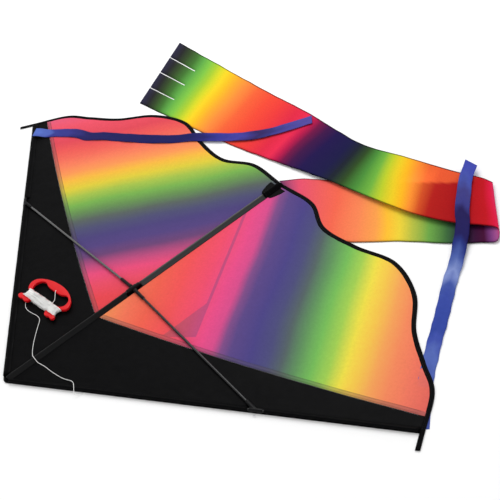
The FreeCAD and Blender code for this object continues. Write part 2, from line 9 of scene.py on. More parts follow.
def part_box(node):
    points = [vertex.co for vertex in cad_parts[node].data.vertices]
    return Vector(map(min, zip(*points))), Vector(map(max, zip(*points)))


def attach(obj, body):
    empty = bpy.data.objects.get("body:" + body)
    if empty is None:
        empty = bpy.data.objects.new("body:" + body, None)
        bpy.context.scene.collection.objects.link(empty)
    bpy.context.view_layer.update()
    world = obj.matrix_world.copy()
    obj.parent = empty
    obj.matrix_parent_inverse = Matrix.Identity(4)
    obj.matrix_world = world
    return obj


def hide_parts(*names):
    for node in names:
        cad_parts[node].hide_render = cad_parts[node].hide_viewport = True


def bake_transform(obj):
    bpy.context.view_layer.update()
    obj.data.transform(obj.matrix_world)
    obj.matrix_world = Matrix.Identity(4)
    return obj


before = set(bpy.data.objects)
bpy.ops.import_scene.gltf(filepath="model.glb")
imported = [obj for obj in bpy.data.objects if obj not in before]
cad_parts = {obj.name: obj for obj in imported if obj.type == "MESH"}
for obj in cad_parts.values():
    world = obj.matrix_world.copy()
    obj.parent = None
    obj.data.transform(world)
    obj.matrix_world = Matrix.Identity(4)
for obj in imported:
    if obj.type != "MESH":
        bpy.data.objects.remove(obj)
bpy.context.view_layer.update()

# Everything is laid out in millimetres from the kite's nose: x to the right wing,
# y to the tail, z up. The strip under the spine ends where the spine does.
SPINE = 700.0
HALF_SPAN = 712.0
SWEEP = math.radians(32.8)
SLOPE = math.tan(SWEEP)
NOSE_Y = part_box("spine_seam_strip")[1].y * 1000 - SPINE
SAIL_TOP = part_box("right_rainbow_panel")[1].z * 1000
CLOTH = 0.3
SAIL_MID = SAIL_TOP - CLOTH / 2
WING_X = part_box("right_rainbow_panel")[0].x * 1000
ROD_Z = 5.6
STRIP_HALF = 9.25
SEAM_APEX_Y = 222.0
SEAM_END = (688.0, 486.0)
SEAM_SLOPE = 0.33
SEAM_FOLD = 9.5
# Crests and hollows of the trailing edge: share of the half span, and how far behind its line
SCALLOPS = ((0.146, 38.0), (0.256, 33.0), (0.386, 70.0), (0.520, 120.5),
            (0.649, 121.0), (0.746, 83.0), (0.843, 66.5), (0.927, 53.0))
SPREADER_Y = 314.0
FITTING_AT = 541.0
# The sleeves stop this far from the middles of the fittings and of the connector
FITTING_GAP = 16
CONNECTOR_GAP = 18
EDGE_LENGTH = HALF_SPAN / math.cos(SWEEP)
KEEL_FRONT, KEEL_BACK, KEEL_TIP = Vector((0.8, 150)), Vector((0.8, 611)), Vector((215, 325))
KEEL_HEM = 6.0
PATCH_SHARE = 0.735
SIDES = {1: "right", -1: "left"}


def metres(x, y, z=0.0):
    return Vector((x, y + NOSE_Y, z)) / 1000


def added(name, data):
    """A new object in the scene."""
    made = bpy.data.objects.new(name, data)
    bpy.context.scene.collection.objects.link(made)
    return made


# Camera

CAMERA_AT = Vector((1.873, -0.6826, 1.636))
CAMERA_RIGHT = Vector((0.569, 0.7757, -0.273))
CAMERA_UP = Vector((-0.42647, 0.56213, 0.70862))
SENSOR = 36
LENS_IN_WIDTHS = 2.5248


def make_camera():
    data = bpy.data.cameras.new("camera")
    data.sensor_width = SENSOR
    data.lens = LENS_IN_WIDTHS * SENSOR
    data.clip_start, data.clip_end = 0.05, 50
    camera = added("camera", data)
    right = CAMERA_RIGHT.normalized()
    back = right.cross(CAMERA_UP).normalized()
    up = back.cross(right)
    camera.matrix_world = Matrix.Translation(CAMERA_AT) @ Matrix((right, up, back)).transposed().to_4x4()
    bpy.context.scene.camera = camera


make_camera()

# Colours


def linear(code):
    """Linear colour of a hexadecimal sRGB code."""
    channels = [int(code[i:i + 2], 16) / 255 for i in (0, 2, 4)]
    return [c / 12.92 if c <= 0.04045 else ((c + 0.055) / 1.055) ** 2.4 for c in channels] + [1.0]


# Printed bands: place in millimetres along the print, and colour
RIGHT_BANDS = ((150, "F0905C"), (195, "F0785A"), (240, "EF6552"), (290, "F0585A"), (340, "EE5270"),
               (385, "E8508A"), (412, "D8508E"), (430, "84508A"), (450, "5E4A88"), (490, "4E4688"),
               (525, "50507E"), (555, "586668"), (585, "649660"), (615, "78BE5C"), (645, "A4D056"),
               (675, "EEE04C"), (705, "FEC850"), (735, "F9A65C"), (765, "F68C60"), (800, "F07A62"),
               (840, "E66A60"))
LEFT_BANDS = ((180, "E74A52"), (225, "E8506A"), (258, "E8507E"), (285, "C05080"), (315, "704878"),
              (345, "584782"), (375, "50467E"), (405, "525276"), (435, "5C6662"), (465, "689056"),
              (495, "7AB252"), (525, "A6C24E"), (555, "DECC40"), (585, "F2BC44"), (615, "F79A58"),
              (645, "F3845E"), (675, "EE6E5C"), (705, "E95C58"), (740, "DE4C5A"), (800, "EA566A"),
              (840, "E4607E"))
PRINT_TURN = math.radians(37)
# Painted shade: how the keel under it darkens the sail. Painted light: what shines up through the tail
# where it lies single
KEEL_SHADE = (0.66, 1, 1, 1)
SINGLE_LIGHT = (0.36, 0.085, 0.02, 1)
# The tail's bands, from the gathered end to the fringe
TAIL_BANDS = ((0, "6A3A60"), (26, "B84A70"), (48, "E2506C"), (100, "E85C5C"), (150, "F0664E"),
              (205, "F58454"), (240, "F79E4C"), (262, "FABD34"), (286, "ECD03A"), (312, "B4BC44"),
              (345, "6CA448"), (380, "3E6A3C"), (410, "2A2840"), (436, "3A1036"), (452, "440E34"),
              (463, "743878"), (474, "A0508C"), (485, "D02C5C"), (496, "D81A40"), (512, "BC1620"),
              (570, "A41218"), (620, "B01E1A"), (645, "D05024"),
              (670, "F78E30"), (692, "F8B420"), (713, "EACA24"), (738, "B8CA2C"), (762, "6EB040"),
              (790, "4A8C3A"), (822, "304A24"), (850, "1E2430"))
TAIL_BANDS_FAR = ((850, "1E2430"), (880, "1C1A46"), (932, "22164C"), (964, "401648"), (987, "701646"),
                  (1006, "B81A4A"), (1028, "E62C50"), (1060, "DC2A44"), (1105, "E83A3A"), (1158, "EE4A36"),
                  (1205, "F06238"), (1245, "F38A3C"), (1272, "F8A430"), (1295, "FDBC24"), (1316, "F4D026"),
                  (1338, "D4D42A"), (1360, "A4C834"), (1385, "7CC046"), (1410, "5EA648"), (1436, "427232"),
                  (1462, "364A2A"), (1485, "28282A"), (1512, "2E2C44"))
KEEL_BANDS = ((0, "F04A3C"), (300, "F04440"), (500, "F03A46"), (840, "E8404E"))
# The ribbons' blue with painted sheen and shade, from the wing tip to the loose end
LEFT_RIBBON_BLUE_AND_SHEEN = ((0, "5872C4"), (48, "4E60B0"), (62, "3A4090"), (100, "3A3884"), (160, "29265E"),
                     (250, "22235A"), (420, "21205A"), (470, "272668"), (500, "34368E"), (560, "44409A"),
                     (600, "35295F"), (633, "363678"), (666, "484494"), (714, "524A9C"))
RIGHT_RIBBON_BLUE_AND_SHEEN = ((0, "4A5AA4"), (100, "4658A4"), (171, "566AB4"), (200, "4252A8"), (230, "34479C"),
                      (300, "3A4BA0"), (338, "4458A4"), (369, "8090C8"), (385, "6678B6"), (402, "4A5DA4"),
                      (433, "28347C"), (462, "221F5A"), (518, "251E54"), (545, "3A3A80"), (575, "403E80"),
                      (607, "4551A2"), (650, "4048A8"))


class Shader:
    """Builds one Principled material and its node tree."""

    def __init__(self, name, **values):
        self.material = bpy.data.materials.new(name)
        self.material.use_nodes = True
        self.tree = self.material.node_tree
        self.surface = self.tree.nodes["Principled BSDF"]
        for key, value in values.items():
            self.surface.inputs[key.replace("_", " ")].default_value = value

    def add(self, kind, settings=None, **inputs):
        made = self.tree.nodes.new("ShaderNode" + kind)
        for key, value in (settings or {}).items():
            setattr(made, key, value)
        for key, value in inputs.items():
            self.put(made.inputs[key.replace("_", " ")], value)
        return made

    def put(self, socket, value):
        if isinstance(value, bpy.types.NodeSocket):
            self.tree.links.new(value, socket)
        else:
            socket.default_value = value

    def place(self):
        return self.add("TexCoord").outputs["Object"]

    def along(self):
        """The piece's own map: x along it and y across it, in metres."""
        return self.add("UVMap").outputs["UV"]

    def math(self, operation, first, second=0.0):
        made = self.add("Math", {"operation": operation})
        self.put(made.inputs[0], first)
        self.put(made.inputs[1], second)
        return made.outputs[0]

    def ranged(self, value, low=0.0, high=1.0, start=0.0, end=1.0):
        """A value between start and end, brought to between low and high."""
        made = self.add("MapRange", Value=value, From_Min=start, From_Max=end, To_Min=low, To_Max=high)
        return made.outputs["Result"]

    def noise(self, where, scale, detail=3.0, rough=0.5):
        made = self.add("TexNoise", Vector=where, Scale=scale, Detail=detail, Roughness=rough)
        return made.outputs["Fac"]

    def ramp(self, factor, stops):
        """Colour ramp over stops of (place, colour code), places in millimetres."""
        low, high = stops[0][0], stops[-1][0]
        made = self.add("ValToRGB", Fac=self.ranged(factor, start=low / 1000, end=high / 1000))
        ramp = made.color_ramp
        ramp.interpolation = "LINEAR"
        for index, (spot, code) in enumerate(stops):
            share = (spot - low) / (high - low)
            stop = ramp.elements[index] if index < 2 else ramp.elements.new(share)
            stop.position = share
            stop.color = linear(code)
        return made.outputs["Color"]

    def tint(self, colour, factor, low, high):
        """The colour made darker and lighter between two shares by a factor."""
        return self.mixed("MULTIPLY", 1.0, colour, self.ranged(factor, low, high), clamp_result=True)

    def mixed(self, blend, factor, first, second, **settings):
        made = self.add("Mix", {"data_type": "RGBA", "blend_type": blend, **settings})
        self.put(made.inputs[0], factor)
        self.put(made.inputs[6], first)
        self.put(made.inputs[7], second)
        return made.outputs[2]

    def distance(self, where, way, start):
        """How far places lie past a start, along a way."""
        made = self.add("VectorMath", {"operation": "DOT_PRODUCT"})
        self.put(made.inputs[0], where)
        made.inputs[1].default_value = way
        return self.math("SUBTRACT", made.outputs["Value"], start)

    def wander(self, where, scale, reach):
        """A slow drift to both sides, in metres."""
        return self.math("MULTIPLY", self.math("SUBTRACT", self.noise(where, scale, 1.0), 0.5), reach)

    def weave(self, where, per_metre):
        """Plain weave: threads along both axes, as a height."""
        heights = []
        for direction in ("X", "Y"):
            made = self.add("TexWave", {"bands_direction": direction}, Vector=where,
                            Scale=per_metre / 3.183, Distortion=0.3, Detail=1.0)
            heights.append(made.outputs["Fac"])
        return self.math("MULTIPLY", heights[0], heights[1])

    def bump(self, *layers):
        """Each layer is a height and how deep it is in millimetres."""
        normal = None
        for height, depth in layers:
            made = self.add("Bump", Strength=1.0, Distance=depth / 1000)
            self.put(made.inputs["Height"], height)
            if normal is not None:
                self.put(made.inputs["Normal"], normal)
            normal = made.outputs["Normal"]
        self.put(self.surface.inputs["Normal"], normal)

    def colour(self, value):
        self.put(self.surface.inputs["Base Color"], value)

    def roughness(self, factor, low, high):
        self.put(self.surface.inputs["Roughness"], self.ranged(factor, low, high))


def flat_colour(shader, code, factor, low, high):
    base = shader.add("RGB")
    base.outputs[0].default_value = linear(code)
    shader.colour(shader.tint(base.outputs[0], factor, low, high))


def cloth_finish(shader, where, wrinkle=0.8):
    """Fine weave, and the soft creases of cloth that has been folded."""
    broad = shader.noise(where, 9.0, 3.0, 0.55)
    creases = shader.noise(where, 34.0, 4.0, 0.6)
    shader.bump((broad, 4.0 * wrinkle), (creases, 0.9 * wrinkle), (shader.weave(where, 900), 0.05))
    return broad


def black_cloth():
    shader = Shader("black_cloth", Specular_IOR_Level=0.022)
    where = shader.place()
    broad = cloth_finish(shader, where)
    flat_colour(shader, "09090A", shader.noise(where, 60.0, 4.0), 0.6, 1.5)
    shader.roughness(broad, 0.32, 0.5)
    return shader.material


def keel_edges():
    """Each sloping edge of the keel: its root, the way along it and the way in from it."""
    for root, inner in ((KEEL_FRONT, KEEL_BACK), (KEEL_BACK, KEEL_FRONT)):
        way = (KEEL_TIP - root).normalized()
        inward = (inner - root) - way * (inner - root).dot(way)
        yield root, way, inward.normalized()


def keel_shade(shader, where):
    """Painted shade: where the hem and the patch of the keel under the cloth keep light from coming
    through.
    """
    depths = [shader.distance(where, (*inward, 0), metres(*root).xy.dot(inward))
              for root, way, inward in keel_edges()]
    depth = shader.math("MINIMUM", *depths)
    across = shader.add("SeparateXYZ", Vector=where).outputs["X"]
    within = shader.ranged(depth, start=0, end=0.0012)
    hem = shader.ranged(depth, start=0.0074, end=0.0062)
    patch = shader.ranged(across, start=0.1565, end=0.1582)
    return shader.math("MULTIPLY", within, shader.math("MAXIMUM", hem, patch))


def printed_cloth(name, side, bands, backing=None, alpha=0.78, shaded=False):
    """Cloth with bands of colour across it, over a darker backing where there is one, painted in as partly
    the backing's own black and partly shade; if shaded, with the keel's painted shade too.
    """
    shader = Shader(name, Alpha=alpha, Specular_IOR_Level=0.02)
    where = shader.place()
    axis = Vector((side * math.cos(PRINT_TURN), math.sin(PRINT_TURN), 0))
    spot = shader.distance(where, axis, NOSE_Y * axis.y / 1000)
    colour = shader.ramp(shader.math("ADD", spot, shader.wander(where, 5.0, 0.02)), bands)
    if backing:
        # Painted tone of the dark allowance showing through the print: partly its own black, partly shade,
        # in random amounts.
        backing_and_shade = shader.ranged(shader.noise(where, 30.0, 2.0), 0.4, 0.62)
        colour = shader.mixed("MIX", backing_and_shade, colour, linear(backing))
    if shaded:
        # Painted shade: the keel's hem and patch under the sail darken its print here; it stays on the
        # print when the keel swings out.
        colour = shader.mixed("MULTIPLY", keel_shade(shader, where), colour, KEEL_SHADE)
    shader.colour(shader.tint(colour, shader.noise(where, 240.0, 2.0), 1.0, 1.2))
    broad = cloth_finish(shader, where, 0.6)
    shader.roughness(broad, 0.5, 0.65)
    return shader.material


def tail_cloth(name, bands, low=0.88, high=1.08):
    """Printed tail; where it lies single over a pale floor, the light that comes through it is painted
    into its colour.
    """
    shader = Shader(name, Specular_IOR_Level=0.015)
    where = shader.along()
    spot = shader.add("SeparateXYZ", Vector=where).outputs["X"]
    colour = shader.ramp(shader.math("ADD", spot, shader.wander(where, 6.0, 0.025)), bands)
    # Painted light: colour lifted where the tail lies single.
    single = shader.add("Attribute", {"attribute_name": "single"})
    lit = shader.mixed("ADD", single.outputs["Fac"], colour, SINGLE_LIGHT)
    shader.colour(shader.tint(lit, shader.noise(where, 240.0, 2.0), low, high))
    broad = cloth_finish(shader, where, 0.7)
    shader.roughness(broad, 0.4, 0.6)
    return shader.material


def blue_ribbon(name, bands):
    """Satin ribbon with painted sheen and shade: its tone goes lighter and darker along it, with its lie.
    """
    shader = Shader(name, Specular_IOR_Level=0.015)
    where = shader.along()
    broad = shader.noise(where, 14.0, 2.0)
    split = shader.add("SeparateXYZ", Vector=where)
    slant = shader.math("MULTIPLY", shader.math("ABSOLUTE", split.outputs["Y"]), 1.4)
    spot = shader.math("ADD", split.outputs["X"], slant)
    # The ramp's lighter and darker stops are painted sheen and shade over the ribbon's blue.
    colour = shader.ramp(shader.math("ADD", spot, shader.wander(where, 25.0, 0.05)), bands)
    shader.colour(shader.tint(colour, shader.noise(where, 90.0, 2.0), 0.85, 1.1))
    ribs = shader.add("TexWave", {"bands_direction": "X"}, Vector=where, Scale=260.0, Distortion=0.4)
    shader.bump((broad, 1.6), (shader.noise(where, 50.0, 3.0), 0.4), (ribs.outputs["Fac"], 0.05))
    shader.roughness(broad, 0.3, 0.48)
    return shader.material


def white_line():
    shader = Shader("white_line", Specular_IOR_Level=0.2)
    where = shader.place()
    strands = shader.add("TexWave", {"bands_direction": "DIAGONAL"}, Vector=where, Scale=420.0,
                         Distortion=1.0).outputs["Fac"]
    flat_colour(shader, "FFFFFD", shader.noise(where, 500.0, 2.0), 0.97, 1.0)
    shader.bump((strands, 0.12))
    shader.roughness(strands, 0.55, 0.75)
    return shader.material


def plain(name, code, tone, grains, rough, weave=None, **values):
    """One colour. Tone: noise scale, detail and the two shares. Grains: noise scale, detail and
    depth of each bump. Rough: noise scale and the two values. Weave: threads a metre and depth."""
    shader = Shader(name, **values)
    where = shader.place()
    flat_colour(shader, code, shader.noise(where, *tone[:2]), *tone[2:])
    bumps = [(shader.noise(where, scale, detail), depth) for scale, detail, depth in grains]
    if weave:
        bumps.append((shader.weave(where, weave[0]), weave[1]))
    shader.bump(*bumps)
    shader.roughness(shader.noise(where, rough[0]), *rough[1:])
    return shader.material


def spine_cloth(name, shine):
    """Black cloth worn shiny over the spine's rod, least near the nose."""
    return plain(name, "080809", (90, 3, 0.7, 1.5), [(60, 2, 0.5)], (40, 0.28, 0.4), (800, 0.05),
                 Specular_IOR_Level=shine)


def fibreglass(name, coat, shine):
    return plain(name, "0C0C0E", (300, 2, 0.7, 1.5), [(400, 2, 0.03)], (80, 0.2, 0.34),
                 Coat_Weight=coat, Coat_Roughness=0.06, Specular_IOR_Level=shine)


def thread(name, code):
    return plain(name, code, (900, 1, 0.8, 1.15), [(1500, 1, 0.05)], (300, 0.4, 0.6),
                 Specular_IOR_Level=0.2)


BLACK = black_cloth()
RIGHT_PRINT = printed_cloth("rainbow_cloth_right", 1, RIGHT_BANDS, shaded=True)
LEFT_PRINT = printed_cloth("rainbow_cloth_left", -1, LEFT_BANDS)
KEEL_PRINT = printed_cloth("keel_cloth", 1, KEEL_BANDS)
# Seam strips: the print with the painted show-through of the dark allowance under it.
RIGHT_SEAM = printed_cloth("rainbow_seam_right", 1, RIGHT_BANDS, "4C4448", 1.0)
LEFT_SEAM = printed_cloth("rainbow_seam_left", -1, LEFT_BANDS, "4C4448", 1.0)
TAIL_NEAR = tail_cloth("tail_cloth_near", TAIL_BANDS)
TAIL_FAR = tail_cloth("tail_cloth_far", TAIL_BANDS_FAR)
# The hems are the tail's print darkened with painted shade.
HEM_NEAR = tail_cloth("tail_hem_near", TAIL_BANDS, 0.18, 0.4)
HEM_FAR = tail_cloth("tail_hem_far", TAIL_BANDS_FAR, 0.18, 0.4)
TAPE = plain("black_tape", "070708", (150, 3, 0.6, 1.5), [(60, 2, 0.6)], (40, 0.45, 0.65), (700, 0.08),
             Specular_IOR_Level=0.02)
SPINE_FRONT = spine_cloth("spine_cloth_front", 0.14)
SPINE_REAR = spine_cloth("spine_cloth_rear", 0.6)
LEFT_RIBBON = blue_ribbon("blue_ribbon_left", LEFT_RIBBON_BLUE_AND_SHEEN)
RIGHT_RIBBON = blue_ribbon("blue_ribbon_right", RIGHT_RIBBON_BLUE_AND_SHEEN)
FIBRE = fibreglass("fibreglass_rod", 0.2, 0.25)
BRIGHT_FIBRE = fibreglass("fibreglass_rod_bright", 1.0, 1.0)
VINYL = plain("soft_vinyl", "08080A", (120, 3, 0.8, 1.3), [(900, 2, 0.04), (90, 2, 0.12)],
              (60, 0.3, 0.46), Specular_IOR_Level=0.12)
RED = plain("red_plastic", "DA1019", (40, 2, 0.92, 1.06), [(160, 2, 0.06)], (120, 0.16, 0.26),
            Coat_Weight=0.2, Coat_Roughness=0.08, Specular_IOR_Level=0.15)
WHITE = white_line()
METAL = plain("eyelet_metal", "C9CBCE", (200, 2, 0.85, 1.0), [(700, 2, 0.02)], (300, 0.2, 0.34),
              Metallic=1.0)
DARK_THREAD = thread("dark_thread", "1C1C22")
PALE_THREAD = thread("pale_thread", "D8D8DC")

# Mesh helpers


def piece(name, verts, faces, materials, body, slot, uvs=None, which=None):
    """One piece from points in metres, with face materials and a map if given."""
    mesh = bpy.data.meshes.new(name)
    mesh.from_pydata([tuple(v) for v in verts], [], faces)
    mesh.polygons.foreach_set("use_smooth", [True] * len(mesh.polygons))
    for material in materials:
        mesh.materials.append(material)
    if which is not None:
        mesh.polygons.foreach_set("material_index", which)
    if uvs is not None:
        layer = mesh.uv_layers.new(name="UVMap")
        for loop in mesh.loops:
            layer.data[loop.index].uv = uvs[loop.vertex_index]
    mesh.update()
    made = added(name, mesh)
    if body:
        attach(made, body)
    return made


def finished(made):
    """The piece with its modifiers made part of its mesh."""
    graph = bpy.context.evaluated_depsgraph_get()
    graph.update()
    mesh = bpy.data.meshes.new_from_object(made.evaluated_get(graph), preserve_all_data_layers=True,
                                           depsgraph=graph)
    old = made.data
    made.modifiers.clear()
    made.data = mesh
    bpy.data.meshes.remove(old)
    return made


def hinged(made):
    """Cloth sewn to the spine: its modifiers made part of its mesh, and its place baked in."""
    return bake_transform(finished(made))


def grid(rows):
    """Points and quads of a grid given as rows of equal length."""
    width = len(rows[0])
    verts = [point for row in rows for point in row]
    faces = []
    for i in range(len(rows) - 1):
        for j in range(width - 1):
            a = i * width + j
            faces.append((a, a + 1, a + width + 1, a + width))
    return verts, faces


def thicken(made, thickness, offset=0.0):
    modifier = made.modifiers.new("thickness", "SOLIDIFY")
    modifier.thickness = thickness / 1000
    modifier.offset = offset
    return made


def wobble(x, y, wave, seed):
    """Smooth noise from -1 to 1 over places in millimetres."""
    return noise.noise(Vector((x / wave, y / wave, seed)))


def smooth(value, low, high):
    share = min(max((value - low) / (high - low), 0.0), 1.0)
    return share * share * (3 - 2 * share)


def sweep(sections):
    """Points and faces of a closed tube through sections of equal length."""
    count = len(sections[0])
    verts = [point for section in sections for point in section]
    faces = []
    for i in range(len(sections) - 1):
        for j in range(count):
            k = (j + 1) % count
            faces.append((i * count + j, i * count + k, (i + 1) * count + k, (i + 1) * count + j))
    faces.append(tuple(reversed(range(count))))
    last = (len(sections) - 1) * count
    faces.append(tuple(range(last, last + count)))
    return verts, faces


def joined(parts):
    """Several (points, faces) as one."""
    verts, faces = [], []
    for some_verts, some_faces in parts:
        start = len(verts)
        verts += some_verts
        faces += [tuple(index + start for index in face) for face in some_faces]
    return verts, faces


def heading(points, index):
    """From the point before one to the point after it."""
    return points[min(index + 1, len(points) - 1)] - points[max(index - 1, 0)]


def run_of(points):
    """How far along its line each point lies."""
    return np.concatenate([[0], np.cumsum(np.linalg.norm(np.diff(points, axis=0), axis=1))])


def place_on(points, reach, spot):
    """The place on a line of points, at one or many distances along it."""
    return np.stack([np.interp(spot, reach, points[:, k]) for k in range(points.shape[1])], -1)


def spline(points, count):
    """Evenly spaced points on a smooth curve through the given points."""
    points = [np.array(p, float) for p in points]
    padded = [2 * points[0] - points[1]] + points + [2 * points[-1] - points[-2]]
    dense = []
    for p0, p1, p2, p3 in zip(padded, padded[1:], padded[2:], padded[3:]):
        for step in range(24):
            t = step / 24
            dense.append(0.5 * (2 * p1 + (p2 - p0) * t + (2 * p0 - 5 * p1 + 4 * p2 - p3) * t ** 2
                                + (3 * p1 - p0 - 3 * p2 + p3) * t ** 3))
    dense = np.array(dense + [points[-1]])
    reach = run_of(dense)
    return place_on(dense, reach, np.linspace(0, reach[-1], count))


LONG_STITCH = (3.2, 1.3)
STITCH = (3.0, 1.2)


def stitches(path, length, gap, half=0.22):
    """Lockstitches along a path of points in millimetres."""
    steps = [0.0]
    for a, b in zip(path, path[1:]):
        steps.append(steps[-1] + (b - a).length)
    table = np.array([tuple(p) for p in path])
    parts = []
    spot = gap
    while spot + length < steps[-1]:
        first, last = (Vector(place_on(table, steps, end)) for end in (spot, spot + length))
        ahead = (last - first).normalized()
        across = Vector((-ahead.y, ahead.x, 0)) * half
        lift = Vector((0, 0, half * 1.1))
        sections = []
        for share, size in ((0.0, 0.3), (0.15, 0.9), (0.5, 1.0), (0.85, 0.9), (1.0, 0.3)):
            middle = first.lerp(last, share) + lift * (size - 0.7)
            sections.append([metres(*(middle + across * a * size + lift * b * size))
                             for a, b in ((-1, 0), (0, 1), (1, 0), (0, -1))])
        parts.append(sweep(sections))
        spot += length + gap
    return joined(parts)


def sewn(name, paths, size, body=None, side=0, slot="black_tape", thread_kind=DARK_THREAD, half=0.22):
    """A piece of stitches along some paths, riding on a body, or with its place baked in for one side."""
    verts, faces = joined([stitches(path, *size, half) for path in paths])
    made = piece(name, verts, faces, [thread_kind], body, slot)
    return hinged(made) if side else made


# Sail


def seam_y(x):
    """Where the seam of the two colours crosses, this far out from the spine."""
    bow = (SEAM_END[1] - SEAM_APEX_Y - SEAM_SLOPE * SEAM_END[0]) / SEAM_END[0] ** 2
    return SEAM_APEX_Y + SEAM_SLOPE * x + bow * x * x


def trailing_points():
    """Points along the scalloped edge of the right wing, from the spine to the tip."""
    def straight(x):
        return SPINE + (HALF_SPAN * SLOPE - SPINE) * x / HALF_SPAN

    first = WING_X * SCALLOPS[0][1] / (SCALLOPS[0][0] * HALF_SPAN)
    points = [(WING_X, straight(WING_X) + first)]
    points += [(share * HALF_SPAN, straight(share * HALF_SPAN) + behind) for share, behind in SCALLOPS]
    points.append((HALF_SPAN, HALF_SPAN * SLOPE))
    return spline(points, 260)


TRAILING = trailing_points()


def trailing_y(x):
    return float(np.interp(x, TRAILING[:, 0], TRAILING[:, 1]))


def leading_y(x):
    return x * SLOPE


def front_y(x):
    """Where the black cloth ends: at the seam, or at the trailing edge near the tip."""
    return min(seam_y(x), trailing_y(x))


def sail_height(x, y, side):
    """Height of the sail's middle layer, flat along its edges and under the rods."""
    edge = (y - x * SLOPE) * math.cos(SWEEP)
    inner = smooth(edge, 14, 60) * smooth(x, 12, 60) * smooth(trailing_y(x) - y, 8, 50)
    ripple = 0.6 * wobble(x, y, 95, 3.1 + side) + 0.3 * wobble(x, y, 38, 9.2 + side)
    return SAIL_MID + inner * max(ripple + 0.15, -0.3)


def on_sail(x, y, side, lift):
    """A place in millimetres, lifted off the sail's middle layer."""
    return Vector((side * x, y, sail_height(x, y, side) + lift))


def panel(side, name, low, high, material, slot, columns):
    """Half of the sail between two edges, given as functions of the way out."""
    rows = []
    for x in np.concatenate([np.linspace(WING_X, 16, 7), np.linspace(16, HALF_SPAN - 0.5, 150)[1:]]):
        start, end = low(x), max(high(x), low(x) + 0.2)
        ys = [start + (end - start) * j / columns for j in range(columns + 1)]
        rows.append([metres(side * x, y, sail_height(x, y, side)) for y in ys])
    made = piece(name, *grid(rows), [material], None, slot)
    return hinged(thicken(made, CLOTH))


def make_sails():
    for side, print_cloth, seam_cloth in ((1, RIGHT_PRINT, RIGHT_SEAM), (-1, LEFT_PRINT, LEFT_SEAM)):
        word = SIDES[side]
        nose = panel(side, word + "_nose_cloth", leading_y, front_y, BLACK, "black_cloth", 44)
        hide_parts(word + "_nose_panel")
        rainbow = panel(side, word + "_rainbow_cloth", front_y, trailing_y, print_cloth, "rainbow_cloth",
                        60)
        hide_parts(word + "_rainbow_panel")
        seam = make_seam(side, word, seam_cloth)
        trim = make_binding(side, word)
        sleeve = make_edge_sleeve(side, word)


# Each line of stitches on the seam: name, place behind the seam, lift, stitch and gap, half width
SEAM_STITCHES = (("near", 1.6, 0.55, (3.0, 1.0), 0.3, DARK_THREAD),
                 ("far", 8.0, 0.55, (3.0, 1.0), 0.32, DARK_THREAD),
                 # The pale row is painted glints on the seam, made as pale stitches.
                 ("pale", -1.8, 0.25, (1.3, 3.4), 0.3, PALE_THREAD))


def make_seam(side, word, material):
    """The lapped seam of the two colours: a doubled strip, two stitch lines, and pale dots that are
    painted glints.
    """
    rows = []
    for x in np.concatenate([np.linspace(WING_X + 0.4, 16, 6), np.linspace(16, 686, 170)[1:]]):
        start = seam_y(x) - 0.8
        width = min(SEAM_FOLD + 0.4 * wobble(x, 0, 40, 6.0 + side), trailing_y(x) - start - 1)
        rows.append([metres(*on_sail(x, start + width * share, side, lift))
                     for share, lift in ((0, 0.2), (0.06, 0.42), (0.5, 0.36), (0.94, 0.42), (1, 0.2))])
    strip = piece(word + "_seam_fold", *grid(rows), [material], None, "rainbow_cloth")
    made = [hinged(thicken(strip, 0.2))]
    for name, offset, lift, size, half, thread_kind in SEAM_STITCHES:
        path = [on_sail(x, seam_y(x) + offset, side, lift) for x in np.linspace(12, 676, 240)]
        made.append(sewn(f"{word}_seam_{name}_stitches", [path], size, side=side,
                         thread_kind=thread_kind, half=half))
    return made


BINDING_WIDTH = 8.4
BINDING_ROWS = (1.6, 5.4)


def make_binding(side, word):
    """Tape folded over the trailing edge, and its free end past the tip."""
    points = [Vector((*p, 0)) for p in TRAILING]
    tip_way = (points[-1] - points[-3]).normalized()
    points += [points[-1] + tip_way * step for step in (6, 14, 22, 30, 34)]
    sections = []
    for index, point in enumerate(points):
        ahead = heading(points, index).normalized()
        out = Vector((-ahead.y, ahead.x, 0))
        puff = 0.12 * wobble(index * 6, 0, 30, 5.0 + side)
        width = BINDING_WIDTH + 0.5 * wobble(index * 6, 0, 50, 8.0 + side)
        profile = ((-width, 0.28), (-width + 0.5, 0.5), (-3, 0.62 + puff), (-0.4, 0.55), (0.35, 0.2),
                   (0.35, -0.2), (-0.4, -0.45), (-3, -0.5), (-width, -0.4), (-width, -0.1))
        sections.append([metres(side * (point.x + out.x * a), point.y + out.y * a, SAIL_MID + b)
                         for a, b in profile])
    made = hinged(piece(word + "_edge_binding", *sweep(sections), [TAPE], None, "black_tape"))
    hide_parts(word + "_edge_tape")
    paths = []
    for offset in BINDING_ROWS:
        path = []
        for index in range(3, len(TRAILING) - 2):
            ahead = Vector((*heading(TRAILING, index), 0)).normalized()
            point = Vector((*TRAILING[index], 0)) + Vector((ahead.y, -ahead.x, 0)) * offset
            path.append(Vector((side * point.x, point.y, SAIL_MID + 0.62)))
        paths.append(path)
    return [made, sewn(word + "_binding_stitches", paths, LONG_STITCH, side=side)]


# Frame

# The leading edge rod's middle, in from the edge
ROD_INWARD = 3.8


def edge_at(distance, inward, height, side):
    """A place along the leading edge and in from it."""
    x = distance * math.cos(SWEEP) - inward * math.sin(SWEEP)
    y = distance * math.sin(SWEEP) + inward * math.cos(SWEEP)
    return metres(side * x, y, height)


def drop(radius, tail, base, slump):
    """Cloth drawn over a rod: outside of the rod's circle, then down to the seam."""
    points = [(radius * math.cos(math.radians(turn)), ROD_Z + radius * math.sin(math.radians(turn)))
              for turn in (262, 235, 210, 185, 160, 135, 110, 88, 66, 48)]
    last = points[-1]
    for share in (0.3, 0.6, 0.85):
        points.append((last[0] + (tail - last[0]) * share,
                       last[1] + (base + 0.5 - last[1]) * share - slump * math.sin(math.pi * share)))
    return points + [(tail, base + 0.35), (tail, base)]


